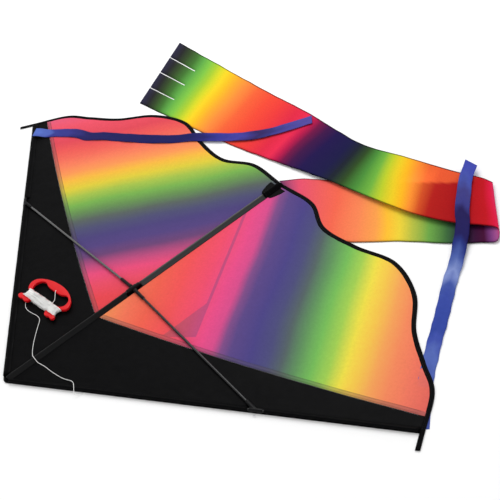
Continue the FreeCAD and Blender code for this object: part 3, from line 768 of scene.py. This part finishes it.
def make_edge_sleeve(side, word):
    body = word + "_wing"
    parts = []
    for start, end in ((14.0, FITTING_AT - FITTING_GAP), (FITTING_AT + FITTING_GAP, EDGE_LENGTH - 10)):
        sections = []
        for distance in np.linspace(start, end, int((end - start) / 5) + 2):
            radius = 3.35 + 0.3 * wobble(distance, 0, 26, 2.0 + side)
            slump = 0.9 + 0.5 * wobble(distance, 0, 40, 7.0 + side)
            tail = 9.8 + 0.5 * wobble(distance, 0, 60, 4.0 + side)
            room = (distance * math.cos(SWEEP) - WING_X - 0.3) / math.sin(SWEEP)
            sections.append([edge_at(distance, min(a + ROD_INWARD, room), b, side)
                             for a, b in drop(radius, tail, SAIL_TOP, slump)])
        parts.append(sweep(sections))
    made = piece(word + "_edge_sleeve_cloth", *joined(parts), [BLACK], body, "black_cloth")
    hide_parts(word + "_edge_sleeve")
    paths = []
    gap = FITTING_GAP + 4
    for start, end in ((30.0, FITTING_AT - gap), (FITTING_AT + gap, EDGE_LENGTH - 14)):
        spots = [edge_at(distance, 12.2, SAIL_TOP + 0.75, side) * 1000
                 for distance in np.linspace(start, end, 80)]
        paths.append([Vector((spot.x, spot.y - NOSE_Y, spot.z)) for spot in spots])
    return [made, sewn(word + "_edge_stitches", paths, LONG_STITCH, body, slot="black_cloth")]


# Flying line

LINE_R = 0.6
LEFT_LINE = ((-166, 147, 3.0), (-158, 136, 2.6), (-142, 131, 2.4), (-124, 133, 2.4),
             (-106, 138, 2.4), (-90, 137, 2.4), (-76, 123, 2.4), (-52, 102, 2.4),
             (-36, 90, 2.4), (-22, 80.5, 2.5), (-11.28, 75.92, 2.7), (-9.15, 75.62, 5.41),
             (-3.6, 74.9, 10.2), (0, 74.7, 10.3))
RIGHT_LINE = ((0, 74.7, 10.3), (3.6, 74.6, 10.2), (9.15, 74.6, 5.41), (11.28, 74.64, 2.7),
              (22, 77, 2.5), (34, 80, 2.4), (60, 82.6, 2.4), (90, 88.4, 2.8), (104, 93, 4.6),
              (117, 97, 8.6), (129, 96.5, 12.0), (139, 91.5, 12.4), (147, 86, 9.8),
              (151.6, 84.6, 5.4), (153.8, 88, 1.7), (156, 96, 0.75), (162, 128, 0.8),
              (174, 172, 0.8), (184, 222, 0.8), (200, 276, 0.8), (212, 302, 0.8), (216.4, 321.6, 0.8))


def nurbs_line(route):
    """Points on the smooth line that has the route's points as its controls."""
    curve = bpy.data.curves.new("route", "CURVE")
    curve.dimensions = "3D"
    curve.resolution_u = 20
    line = curve.splines.new("NURBS")
    line.points.add(len(route) - 1)
    for point, spot in zip(line.points, route):
        point.co = (*metres(*spot), 1.0)
    line.order_u = 3
    line.use_endpoint_u = True
    holder = bpy.data.objects.new("route", curve)
    mesh = bpy.data.meshes.new_from_object(holder)
    points = [vertex.co.copy() for vertex in mesh.vertices]
    bpy.data.objects.remove(holder)
    bpy.data.curves.remove(curve)
    bpy.data.meshes.remove(mesh)
    return points


STRANDS, ROPE_CORNERS = 3, 9


def rope(points, radius=LINE_R, pitch=9.0):
    """Closed tube of laid strands along points in metres; radius and pitch in millimetres."""
    sections = []
    run, up = 0.0, Vector((0, 0, 1))
    for index, point in enumerate(points):
        ahead = heading(points, index).normalized()
        if index:
            run += (point - points[index - 1]).length
        up = (up - ahead * up.dot(ahead)).normalized()
        side = ahead.cross(up)
        section = []
        for corner in range(ROPE_CORNERS):
            turn = 2 * math.pi * (corner / ROPE_CORNERS + run * 1000 / pitch)
            reach = radius / 1000 * (0.91 + 0.09 * math.cos(2 * math.pi * STRANDS * corner / ROPE_CORNERS))
            section.append(point + (side * math.cos(turn) + up * math.sin(turn)) * reach)
        sections.append(section)
    return sweep(sections)


def line_half(name, route):
    """One half of the flying line, from the spine's ridge over one wing."""
    points = nurbs_line(route)
    made = piece(name, *rope(points), [WHITE], None, "white_line")
    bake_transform(made)
    return made, points


def make_cords():
    left, left_points = line_half("flying_line_left", LEFT_LINE)
    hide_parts("line_left", "line_middle")
    right, right_points = line_half("flying_line_right", RIGHT_LINE)
    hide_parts("line_right")
    knot = make_knot()


def make_knot():
    """Overhand knot at the keel's tip."""
    centre = metres(216.6, 325, 0.8)
    points = []
    for step in range(49):
        t = 2 * math.pi * step / 48
        points.append(centre + Vector((0.36 * (math.sin(t) + 2 * math.sin(2 * t)),
                                       0.36 * (math.cos(t) - 2 * math.cos(2 * t)),
                                       -0.28 * math.sin(3 * t))) / 1000)
    made = piece("keel_knot", *rope(points, 0.38, 5.0), [WHITE], "keel", "white_line")
    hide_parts("line_knot")
    return made


# Spine


def hat(radius, half, slump, middle_z=ROD_Z):
    """Cross-section of cloth over the spine's rod, from left to right."""
    lift = middle_z - ROD_Z
    right = [(a, b + lift * min(1, max(0, (b - SAIL_TOP) / (ROD_Z - SAIL_TOP))))
             for a, b in drop(radius, half, SAIL_TOP, slump)[7:]]
    return [(-a, b) for a, b in reversed(right)] + right


def spine_sections(ys, shape):
    return [[metres(a, y, b) for a, b in shape(y)] for y in ys]


def sleeve(y):
    return hat(3.3 + 0.25 * wobble(y, 0, 26, 1.5), 8.4, 0.7 + 0.4 * wobble(y, 0, 40, 6.1))


def pocket(y):
    close = smooth(y, 694, 700)
    radius = 4.3 - 2.9 * close + 0.15 * wobble(y, 0, 12, 3.3)
    return hat(radius, 9.0, 0.5 - 0.3 * close, ROD_Z - 2.3 * close)


SPINE_SLEEVES = (("spine_sleeve_front", 11.5, SPREADER_Y - CONNECTOR_GAP, SPINE_FRONT),
                 ("spine_sleeve_rear", SPREADER_Y + CONNECTOR_GAP, 652.0, SPINE_REAR))
POCKET = (651, 699.4)
POCKET_ROWS = (655, 664)


def make_spine():
    for node, start, end, material in SPINE_SLEEVES:
        sections = spine_sections(np.linspace(start, end, int((end - start) / 5) + 2), sleeve)
        cloth = piece(node + "_cloth", *sweep(sections), [material], "spine", "black_tape")
        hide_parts(node)
        paths = [[Vector((x, y, SAIL_TOP + 0.85)) for y in np.linspace(start + 3, end - 3, 40)]
                 for x in (-7.3, 7.3)]
        sewn(node + "_stitches", paths, LONG_STITCH, "spine")
    sections = spine_sections(np.linspace(*POCKET, 26), pocket)
    cloth = piece("tail_pocket_cloth", *sweep(sections), [TAPE], "spine", "black_tape")
    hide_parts("tail_pocket")
    paths = [[Vector((a, y, b + 0.1)) for a, b in pocket(y)[1:-1]] for y in POCKET_ROWS]
    sewn("tail_pocket_stitches", paths, (2.4, 0.9), "spine")


NOSE_R = 16.0


def make_strip():
    """The strip under the spine, rounded at the nose, with the keel's seam rib."""
    middle_y = NOSE_R / math.cos(SWEEP)
    rows = []
    for x in np.linspace(-STRIP_HALF, STRIP_HALF, 13):
        front = middle_y - math.sqrt(NOSE_R ** 2 - x ** 2)
        ys = np.concatenate([[front, front + 0.6, front + 3], np.linspace(12, 697, 120), [699.6]])
        rows.append([metres(x, y, SAIL_MID + 0.12 * wobble(x * 4, y, 18, 2.2) * smooth(y, 20, 40))
                     for y in ys])
    strip = finished(thicken(piece("spine_strip_cloth", *grid(rows), [TAPE], None, "black_tape"), CLOTH))
    rib = [[metres(a, y, b) for a, b in ((-0.5, 1.5), (0.5, 1.5), (0.5, 1.12), (-0.5, 1.12))]
           for y in np.linspace(KEEL_FRONT.y, KEEL_BACK.y, 60)]
    piece("keel_seam_rib", *sweep(rib), [TAPE], "spine", "black_tape")
    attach(strip, "spine")
    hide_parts("spine_seam_strip")


# The tail patches: out from the spine, along it, and their rear corner
PATCH_OUT, PATCH_ALONG, PATCH_CORNER_Y = 15, 34, 689


def make_tail_patches():
    """Rounded patches on the sail, either side of the spine's end."""
    for side, word in SIDES.items():
        rows = []
        for share in np.linspace(0, 1, 12):
            row = []
            for turn in np.linspace(0, math.pi / 2, 14):
                reach = share * (1 + 0.03 * math.sin(5 * turn))
                row.append(metres(*on_sail(WING_X + 0.2 + PATCH_OUT * reach * math.sin(turn),
                                           PATCH_CORNER_Y - PATCH_ALONG * reach * math.cos(turn),
                                           side, 0.34)))
            rows.append(row)
        patch = piece(word + "_tail_patch_cloth", *grid(rows), [BLACK], None, "black_cloth")
        hinged(thicken(patch, CLOTH))
        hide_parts(word + "_tail_patch")
        path = [on_sail(WING_X + 0.4 + (PATCH_OUT - 2) * math.sin(turn),
                        PATCH_CORNER_Y - 1 - (PATCH_ALONG - 2) * math.cos(turn), side, 0.6)
                for turn in np.linspace(0, math.pi / 2, 24)]
        sewn(word + "_tail_patch_stitches", [path], STITCH, side=side)


# Keel

KEEL_MID_Z = 0.65
EYELET_HOLE = 4.2


def keel_point(u, v, z=KEEL_MID_Z):
    """u along the root from front to back, v from the root to the tip."""
    spot = KEEL_FRONT.lerp(KEEL_BACK, u).lerp(KEEL_TIP, v)
    return metres(spot.x, spot.y, z)


def make_keel():
    eyelet = (sum(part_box("tow_eyelet"), Vector()) / 2).xy
    vs = np.concatenate([np.linspace(0, 0.84, 44), np.linspace(0.84, 0.99, 46)[1:]])
    us = np.linspace(0, 1, 61)

    def keel_cloth(name, z, material, slot, low, thickness):
        """The keel from one share of its depth to the tip, with a hole for the eyelet."""
        verts, faces = grid([[keel_point(u, v, z) for u in us] for v in vs if v >= low])
        faces = [f for f in faces if (sum((verts[i].xy for i in f), Vector((0, 0))) / 4 - eyelet).length
                 > EYELET_HOLE / 1000]
        made = finished(thicken(piece(name, verts, faces, [material], None, slot), thickness))
        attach(made, "keel")
        return made

    cloth = keel_cloth("keel_cloth", KEEL_MID_Z, KEEL_PRINT, "keel_cloth", 0, CLOTH)
    patch = keel_cloth("tow_patch_cloth", 0.4, BLACK, "black_cloth", PATCH_SHARE, 0.18)
    hems, paths = [], []
    for root, way, inward in keel_edges():
        length = (KEEL_TIP - root).length
        sections = []
        for step in np.linspace(14, length - 7, 70):
            spot = root + way * step
            width = KEEL_HEM + 0.3 * wobble(step, 0, 30, 4.4)
            sections.append([metres(*(spot + inward * a), b) for a, b in
                             ((0.2, 0.82), (1.0, 0.98), (width - 1, 0.98), (width, 0.84))])
        hems.append(sweep(sections))
        paths.append([Vector((*(root + way * step + inward * 4.6), 1.0))
                      for step in np.linspace(16, length - 24, 60)])
    hem = piece("keel_hem", *joined(hems), [TAPE], "keel", "black_tape")
    seam = sewn("keel_stitches", paths, STITCH, "keel", half=0.16)
    for made, node in ((cloth, "keel_panel"), (patch, "tow_patch"), (hem, "keel_edge_tape")):
        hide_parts(node)


# Streamers and tail

LEFT_STREAMER = ((-667, 440, 9.6), (-656, 449, 8.2), (-641, 461, 3.6), (-616, 481, 2.8), (-585, 501, 2.7),
                 (-562, 511, 2.7), (-537, 519, 2.8), (-517, 532, 2.7), (-484, 553, 2.6), (-370, 619, 2.5),
                 (-300, 675, 2.7), (-240, 714, 4.2), (-182, 760, 5.0), (-143, 815, 5.0), (-112, 872, 5.0))
RIGHT_STREAMER = ((700, 462, 0.25), (663, 500, 0.25), (633, 533, 0.3), (608, 563, 0.3), (582, 598, 0.5),
                  (560, 630, 0.8), (530, 670, 1.2), (495, 718, 2.0), (459, 770, 4.5), (438, 799, 8.6),
                  (409, 834, 13.0), (371, 870, 13.6), (334, 909, 13.6), (311, 939, 13.5), (291, 969, 12.4))
RIBBON_HALF = 14.2


def make_streamer(side, route, material, cut):
    """Ribbon along a route; its loose end is cut at a slant, longer on one side."""
    word = SIDES[side]
    line = spline(route, 240)
    reach = run_of(line)
    length = float(reach[-1])
    rows, uvs = [], []
    for along in np.linspace(0, length, 220):
        free = smooth(along, 30, 90)
        sway = free * 1.6 * wobble(along, 0, 60, 1.0 + side)
        half = RIBBON_HALF - free * 1.6 * abs(wobble(along, 0, 38, 5.0 + side))
        row = []
        for j in range(11):
            v = j / 5 - 1
            spot = along * (1 + cut * v / length)
            on_line = min(max(spot, 0), length)
            ahead = (place_on(line, reach, min(on_line + 4, length))
                     - place_on(line, reach, max(on_line - 4, 0)))
            ahead /= np.hypot(ahead[0], ahead[1])
            across = np.array([-ahead[1], ahead[0], 0])
            wave = 1.3 * wobble(along, v * 12, 42, 7.0 + side) + 0.7 * v * wobble(along, 0, 60, 11.0)
            point = place_on(line, reach, on_line) + (spot - on_line) * ahead + across * (v * half + sway)
            height = point[2] + 0.15 + free * (0.9 + wave)
            row.append(metres(point[0], point[1], max(height, 0.2)))
            uvs.append((along / 1000, v * 0.015))
        rows.append(row)
    made = piece(word + "_ribbon", *grid(rows), [material], None, "blue_ribbon", uvs)
    finished(thicken(made, 0.22))
    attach(made, word + "_wing")
    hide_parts(word + "_streamer")


# The tail's far and near edge at stations along it, from the spine's end
TAIL_STATIONS = (
    ((-14, 3, 0.2), (24, -10, 0.2)), ((32, 43, 0.4), (120, -28, 0.4)),
    ((118, 90, 0.6), (235, -34, 0.5)), ((216, 149, 0.6), (337, 40, 0.6)),
    ((300, 204, 1.2), (422, 96, 1.0)), ((344, 241, 2.4), (468, 133, 2.0)),
    ((357, 254, 4.4), (484, 146, 3.8)), ((363, 256, 6.4), (481, 158, 6.2)),
    ((359, 255, 8.6), (464, 170, 8.6)), ((338, 251, 10.0), (436, 157, 9.9)),
    ((300, 239, 10.3), (391, 131, 10.3)), ((246, 225, 9.9), (328, 107, 10.0)),
    ((160, 206, 8.6), (250, 89, 9.3)), ((39, 182, 4.3), (66, 61, 6.3)),
    ((-150, 184, 2.7), (-110, 27, 2.7)), ((-320, 178, 0.9), (-260, 2, 0.9)),
    ((-662, 173, 0.7), (-537, -31, 0.7)))
TAIL_LENGTH = 1.512
TAIL_HALF_WAY = 0.850
TAIL_FOLD = (0.445, 0.500)
# Across the kite, in metres, the tail's upper run is seen single, and gets painted light, from here to
# there
SINGLE_FROM, SINGLE_TO = 0.20, 0.34
FRINGE = 0.105
STRIPS, STRIP_COLUMNS = 4, 6
SLIT_SHARE = 0.013
HEM_PROFILE = ((-0.3, 0), (0.2, 0.3), (2.3, 0.3), (2.6, 0), (2.3, -0.3), (0.2, -0.3))


def tail_shares():
    """Places across the tail: columns of each fringe strip and the slits between."""
    shares = []
    for strip in range(STRIPS):
        low = strip / STRIPS + (SLIT_SHARE / 2 if strip else 0)
        high = (strip + 1) / STRIPS - (SLIT_SHARE / 2 if strip < STRIPS - 1 else 0)
        shares += list(np.linspace(low, high, STRIP_COLUMNS))
    return shares


def tail_middle():
    """The tail's edges and middle line, and each station's place along it in metres."""
    edges = spline([(*far, *near) for far, near in TAIL_STATIONS], 420)
    middle = (edges[:, :3] + edges[:, 3:]) / 2
    reach = run_of(middle)
    return edges, middle, reach / reach[-1] * TAIL_LENGTH


def tail_rows(edges, middle, along):
    rows, uvs = [], []
    shares = tail_shares()
    for index, (edge, spot) in enumerate(zip(edges, along)):
        far, near = edge[:3], edge[3:]
        width = np.linalg.norm(near - far)
        off = np.cross(near - far, heading(middle, index))
        off /= np.linalg.norm(off)
        calm = smooth(spot, 0.02, 0.10)
        calm *= 1 - 0.75 * smooth(spot, 0.40, 0.55) * smooth(0.95 - spot, 0, 0.15)
        row = []
        for share in shares:
            lift = calm * (0.35 + 0.9 * wobble(spot * 1000, share * width, 70, 2.6)
                           + 0.5 * wobble(spot * 1000, share * width, 28, 8.1))
            flutter = 1.4 * calm * wobble(spot * 1000, round(share) * 90, 36, 4.0) * (2 * share - 1)
            point = far + (near - far) * (share + flutter / width) + off * abs(lift)
            row.append(metres(point[0], point[1] + SPINE, max(point[2] + 0.28, 0.32)))
            uvs.append((spot, share * width / 1000))
        rows.append(row)
    return rows, uvs


def tail_painted_light(rows, edges, along):
    """For each point, the share of painted light: how far the upper run lies past the lower one, with the
    floor under it.
    """
    lower = edges[along < TAIL_FOLD[0]]
    edge_x, edge_y = lower[:, 0] / 1000, (lower[:, 1] + SPINE + NOSE_Y) / 1000
    return [smooth(point.y - float(np.interp(point.x, edge_x, edge_y)), -0.003, 0.006)
            * smooth(point.x, SINGLE_FROM, SINGLE_FROM + 0.06) * smooth(SINGLE_TO - point.x, 0, 0.05)
            * (spot > TAIL_FOLD[1])
            for row, spot in zip(rows, along) for point in row]


def tail_hems(rows, along):
    """Narrow hems along both edges of the tail, darkened with painted shade."""
    hems, which, uvs = [], [], []
    for column, way in ((0, 1), (len(rows[0]) - 1, -1)):
        line = [row[column] for row in rows]
        sections = []
        for index, (row, edge) in enumerate(zip(rows, line)):
            inward = (row[column + way] - edge).normalized()
            off = inward.cross(heading(line, index).normalized()).normalized()
            sections.append([edge + (inward * a + off * b) / 1000 for a, b in HEM_PROFILE])
            uvs += [(along[index], 0.001 * k) for k in range(len(HEM_PROFILE))]
        hems.append(sweep(sections))
        which += [int(along[min(i // len(HEM_PROFILE), len(along) - 1)] >= TAIL_HALF_WAY)
                  for i in range(len(hems[-1][1]))]
    return piece("tail_hems", *joined(hems), [HEM_NEAR, HEM_FAR], "spine", "tail_cloth", uvs, which)


def make_tail():
    edges, middle, along = tail_middle()
    rows, uvs = tail_rows(edges, middle, along)
    width = len(rows[0])
    faces, which = [], []
    for i in range(len(rows) - 1):
        for j in range(width - 1):
            slit = (j + 1) % STRIP_COLUMNS == 0 and along[i] > TAIL_LENGTH - FRINGE
            if not slit:
                a = i * width + j
                faces.append((a, a + 1, a + width + 1, a + width))
                which.append(int(along[i] >= TAIL_HALF_WAY))
    verts = [point for row in rows for point in row]
    made = piece("tail_cloth", verts, faces, [TAIL_NEAR, TAIL_FAR], None, "tail_cloth", uvs, which)
    # The share of painted light, where the tail lies single.
    layer = thicken(made, CLOTH).data.attributes.new("single", "FLOAT", "POINT")
    layer.data.foreach_set("value", tail_painted_light(rows, edges, along))
    finished(made)
    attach(made, "spine")
    hem = tail_hems(rows, along)
    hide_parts("main_tail")


# Hard parts


def merge(mesh, distance, flatten=None):
    """Makes doubled points one, and faces that lie flatter than an angle too."""
    cleaner = bmesh.new()
    cleaner.from_mesh(mesh)
    bmesh.ops.remove_doubles(cleaner, verts=cleaner.verts, dist=distance)
    if flatten:
        bmesh.ops.dissolve_limit(cleaner, angle_limit=flatten, verts=cleaner.verts, edges=cleaner.edges)
    cleaner.to_mesh(mesh)
    cleaner.free()


def rounded(node, material, body, width, name):
    """A copy of a CAD part with its sharp edges rounded."""
    mesh = bpy.data.objects[node].data.copy()
    merge(mesh, 1e-6, flatten=math.radians(1.5))
    mesh.materials.clear()
    mesh.materials.append(material)
    made = added(name, mesh)
    modifier = made.modifiers.new("rounding", "BEVEL")
    modifier.width = width / 1000
    modifier.segments = 3
    modifier.limit_method = "ANGLE"
    modifier.angle_limit = math.radians(40)
    modifier.use_clamp_overlap = True
    finished(made)
    made.data.polygons.foreach_set("use_smooth", [True] * len(made.data.polygons))
    made.data.set_sharp_from_angle(angle=math.radians(50))
    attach(made, body)
    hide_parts(node)


WINDER = Vector((-128, 162))
WINDER_TURN = math.radians(7)
WINDER_MIDDLE_Z = SAIL_TOP + 6.5


def on_winder(x, y, z):
    """A place on the winder, from its own millimetres."""
    turned = Vector((x, y))
    turned.rotate(Matrix.Rotation(WINDER_TURN, 2))
    return metres(WINDER.x + turned.x, WINDER.y + turned.y, WINDER_MIDDLE_Z + z)


# The D handle in its own millimetres: the outside, with its two horns, and the opening
HANDLE_OUTSIDE = ((-56, 8), (-61.5, 14), (-65, 23), (-63, 32), (-56, 39), (-43, 45.5), (-26, 50.5),
                  (-6, 53), (14, 52.8), (33, 49.5), (49, 43.5), (62, 35), (69, 26.5), (71.5, 20),
                  (69, 13.5), (62, 9.5), (55.5, 7.5), (52.5, 4), (52, 0), (52.5, -4.5), (58, -7.3),
                  (65, -10.5), (66.8, -15), (62.5, -19), (57, -18.2), (52, -17.2), (46, -19.4),
                  (38.5, -18.5), (35, -14.5), (31.5, -9), (27, -7), (4, -6.8), (-19, -7), (-23.5, -9.5),
                  (-26, -15.5), (-31, -19), (-38.5, -19.2), (-44, -17.2), (-50, -19.3), (-57, -18.5),
                  (-61.5, -14.5), (-60, -9.5), (-54, -7), (-49, -4.5), (-48.5, 0), (-50.5, 5))
HANDLE_OPENING = ((-46, 12), (-50.5, 18), (-51.5, 26), (-47.5, 34), (-40, 39), (-31, 39.5),
                  (-23.5, 36.5), (-14, 34.8), (4, 34.5), (20, 34.8), (29, 36.5), (36, 39.8), (45, 39.5),
                  (52.5, 36), (57.5, 30), (59, 23.5), (57, 17), (52, 13), (42, 11), (0, 10.5),
                  (-38, 11))
HANDLE_THICK = 6.0
HANDLE_EDGE = 1.1
WOUND_MIDDLE_X = 4.0


def make_handle():
    """Moulded plate with rounded edges, from smooth outlines."""
    curve = bpy.data.curves.new("handle", "CURVE")
    curve.dimensions = "2D"
    curve.fill_mode = "BOTH"
    curve.resolution_u = 7
    curve.bevel_resolution = 3
    curve.bevel_depth = HANDLE_EDGE
    curve.offset = -HANDLE_EDGE
    curve.extrude = HANDLE_THICK / 2 - HANDLE_EDGE
    for outline in (HANDLE_OUTSIDE, HANDLE_OPENING):
        line = curve.splines.new("BEZIER")
        line.bezier_points.add(len(outline) - 1)
        for point, spot in zip(line.bezier_points, outline):
            point.co = (*spot, 0)
            point.handle_left_type = point.handle_right_type = "AUTO"
        line.use_cyclic_u = True
    holder = added("handle", curve)
    bpy.context.view_layer.update()
    mesh = bpy.data.meshes.new_from_object(holder.evaluated_get(bpy.context.evaluated_depsgraph_get()))
    merge(mesh, 1e-3)
    verts = [on_winder(*v.co) for v in mesh.vertices]
    faces = [tuple(face.vertices) for face in mesh.polygons]
    bpy.data.objects.remove(holder)
    bpy.data.curves.remove(curve)
    bpy.data.meshes.remove(mesh)
    made = piece("line_winder", verts, faces, [RED], "left_wing", "red_plastic")
    made.data.set_sharp_from_angle(angle=math.radians(40))
    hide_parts("winder_handle")


# The wound line: half length and half sizes of its core, and its outer layer of turns
CORE_X, CORE_Y, CORE_Z = 50, 8.6, 5.6
TURNS = 17
TURN_X, TURN_Y, TURN_Z = 51.5, 8.9, 5.9
TURN_R = 0.72
# Turns that cross the layer askew: how far across at each end
CROSSINGS = ((-7, -1.5), (-2.5, 4.0), (7.5, 2.0), (1.0, 8.2), (-4.5, 6.0), (8.5, -5.0))
CROSSING_HALF = 49
# The loose end from the wound line up onto the handle
LOOSE_END = ((31, 9, 5.2), (29, 12.5, 2.6), (24, 20, 1.2), (14, 29, 2.0), (9, 34, 3.6), (7, 37.5, 3.7))


def bulge(x):
    """How much fatter the wound line is away from its ends."""
    return 1 + 0.13 * (1 - min(abs(x) / 56, 1) ** 2)


def squared(value, power):
    return math.copysign(abs(value) ** power, value)


def make_winder():
    make_handle()
    core = []
    for share in np.linspace(-1, 1, 9):
        half = CORE_Y * bulge(share * CORE_X)
        core.append([on_winder(WOUND_MIDDLE_X + CORE_X * share, half * squared(math.cos(t), 0.4),
                               CORE_Z * squared(math.sin(t), 0.4))
                     for t in np.linspace(0, 2 * math.pi, 24, endpoint=False)])
    parts = [sweep(core)]
    for number in range(TURNS):
        y = -TURN_Y + 2 * TURN_Y * number / (TURNS - 1)
        end = TURN_X + 5.6 * (abs(y) / TURN_Y) ** 1.4 + 0.4 * wobble(number * 10, 0, 9, 3.0)
        loop = []
        for step in range(73):
            turn = 2 * math.pi * step / 72
            x = squared(math.cos(turn), 0.35) * end
            z = squared(math.sin(turn), 0.7) * TURN_Z
            slant = (0.6 * math.sin(turn) * (1 if number % 2 else -1)
                     + 0.35 * wobble(step * 8, number * 9, 40, 1.0))
            loop.append(on_winder(WOUND_MIDDLE_X + x, y * bulge(x) + slant,
                                  z + 0.2 * wobble(step * 8, number * 12, 30, 6.0)))
        parts.append(rope(loop, TURN_R))
    for number, (y0, y1) in enumerate(CROSSINGS):
        line = []
        for x in np.linspace(-CROSSING_HALF, CROSSING_HALF, 50):
            y = (y0 + (y1 - y0) * (x + CROSSING_HALF) / (2 * CROSSING_HALF)
                 + 0.5 * wobble(x, number * 20, 30, 2.0))
            line.append(on_winder(WOUND_MIDDLE_X + x, y, 6.2 + 0.12 * (number % 3)))
        parts.append(rope(line))
    parts.append(rope([on_winder(*p) for p in spline(LOOSE_END, 40)]))
    made = piece("wound_line_turns", *joined(parts), [WHITE], "left_wing", "white_line")
    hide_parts("wound_line")


# Where each wing has its bar tack, out from the spine and back from the nose
BAR_TACKS = ((-1, 418, 268), (1, 457, 288))


def make_hardware():
    for word in ("left", "right"):
        wing = word + "_wing"
        rounded(word + "_spreader_fitting", VINYL, wing, 0.5, word + "_rod_fitting")
        rounded(word + "_connector_arm", VINYL, wing, 0.5, word + "_arm")
        dress(word + "_edge_rod", FIBRE)
    dress("left_spreader_rod", BRIGHT_FIBRE)
    dress("right_spreader_rod", FIBRE)
    rounded("centre_connector", VINYL, "spine", 0.7, "centre_collar")
    dress("spine_rod", FIBRE)
    dress("tow_eyelet", METAL)
    along = Vector((math.cos(SWEEP), math.sin(SWEEP), 0))
    for side, x, y in BAR_TACKS:
        paths = []
        for number in range(4):
            start = Vector((x, y + 0.7 * (number - 1.5), SAIL_TOP + 0.9 + 0.2 * (number % 2)))
            spots = [start + along * step for step in (-3, -1, 1, 3)]
            paths.append([Vector((side * spot.x, spot.y, spot.z)) for spot in spots])
        sewn(SIDES[side] + "_bar_tack", paths, (5.0, 0.4), SIDES[side] + "_wing", slot="white_line",
             thread_kind=PALE_THREAD, half=0.35)


def dress(node, material):
    for slot in bpy.data.objects[node].material_slots:
        slot.material = material


make_cords()
make_sails()
make_spine()
make_strip()
make_tail_patches()
make_keel()
make_streamer(-1, LEFT_STREAMER, LEFT_RIBBON, 2.0)
make_streamer(1, RIGHT_STREAMER, RIGHT_RIBBON, 9.0)
make_tail()
make_winder()
make_hardware()

# Stage


FLOOR_SIZE = 60
SKY_LIGHT = 0.78
LAMP_AT = (-1.6, 1.4, 2.8)
LAMP_SIZE, LAMP_WATTS = 2.4, 55


def make_stage():
    bpy.ops.mesh.primitive_plane_add(size=FLOOR_SIZE, location=(0, 0, 0))
    floor = bpy.context.object
    floor.name = "floor"
    shader = Shader("floor")
    path = shader.add("LightPath")
    through = shader.math("ADD", path.outputs["Is Glossy Ray"], path.outputs["Is Transmission Ray"])
    seen = shader.math("ADD", path.outputs["Is Camera Ray"], through)
    shader.colour(shader.ranged(seen, 0.93, 1.0))
    shader.surface.inputs["Roughness"].default_value = 0.9
    floor.data.materials.append(shader.material)
    world = bpy.data.worlds.new("world")
    world.use_nodes = True
    bpy.context.scene.world = world
    background = world.node_tree.nodes["Background"].inputs
    background["Color"].default_value = (1, 1, 1, 1)
    background["Strength"].default_value = SKY_LIGHT
    lamp = bpy.data.lights.new("key", "AREA")
    lamp.shape, lamp.size, lamp.energy = "DISK", LAMP_SIZE, LAMP_WATTS
    key = added("key", lamp)
    key.location = LAMP_AT
    key.rotation_euler = (-key.location).to_track_quat("-Z", "Y").to_euler()
    bpy.context.scene.view_settings.view_transform = "Standard"


make_stage()
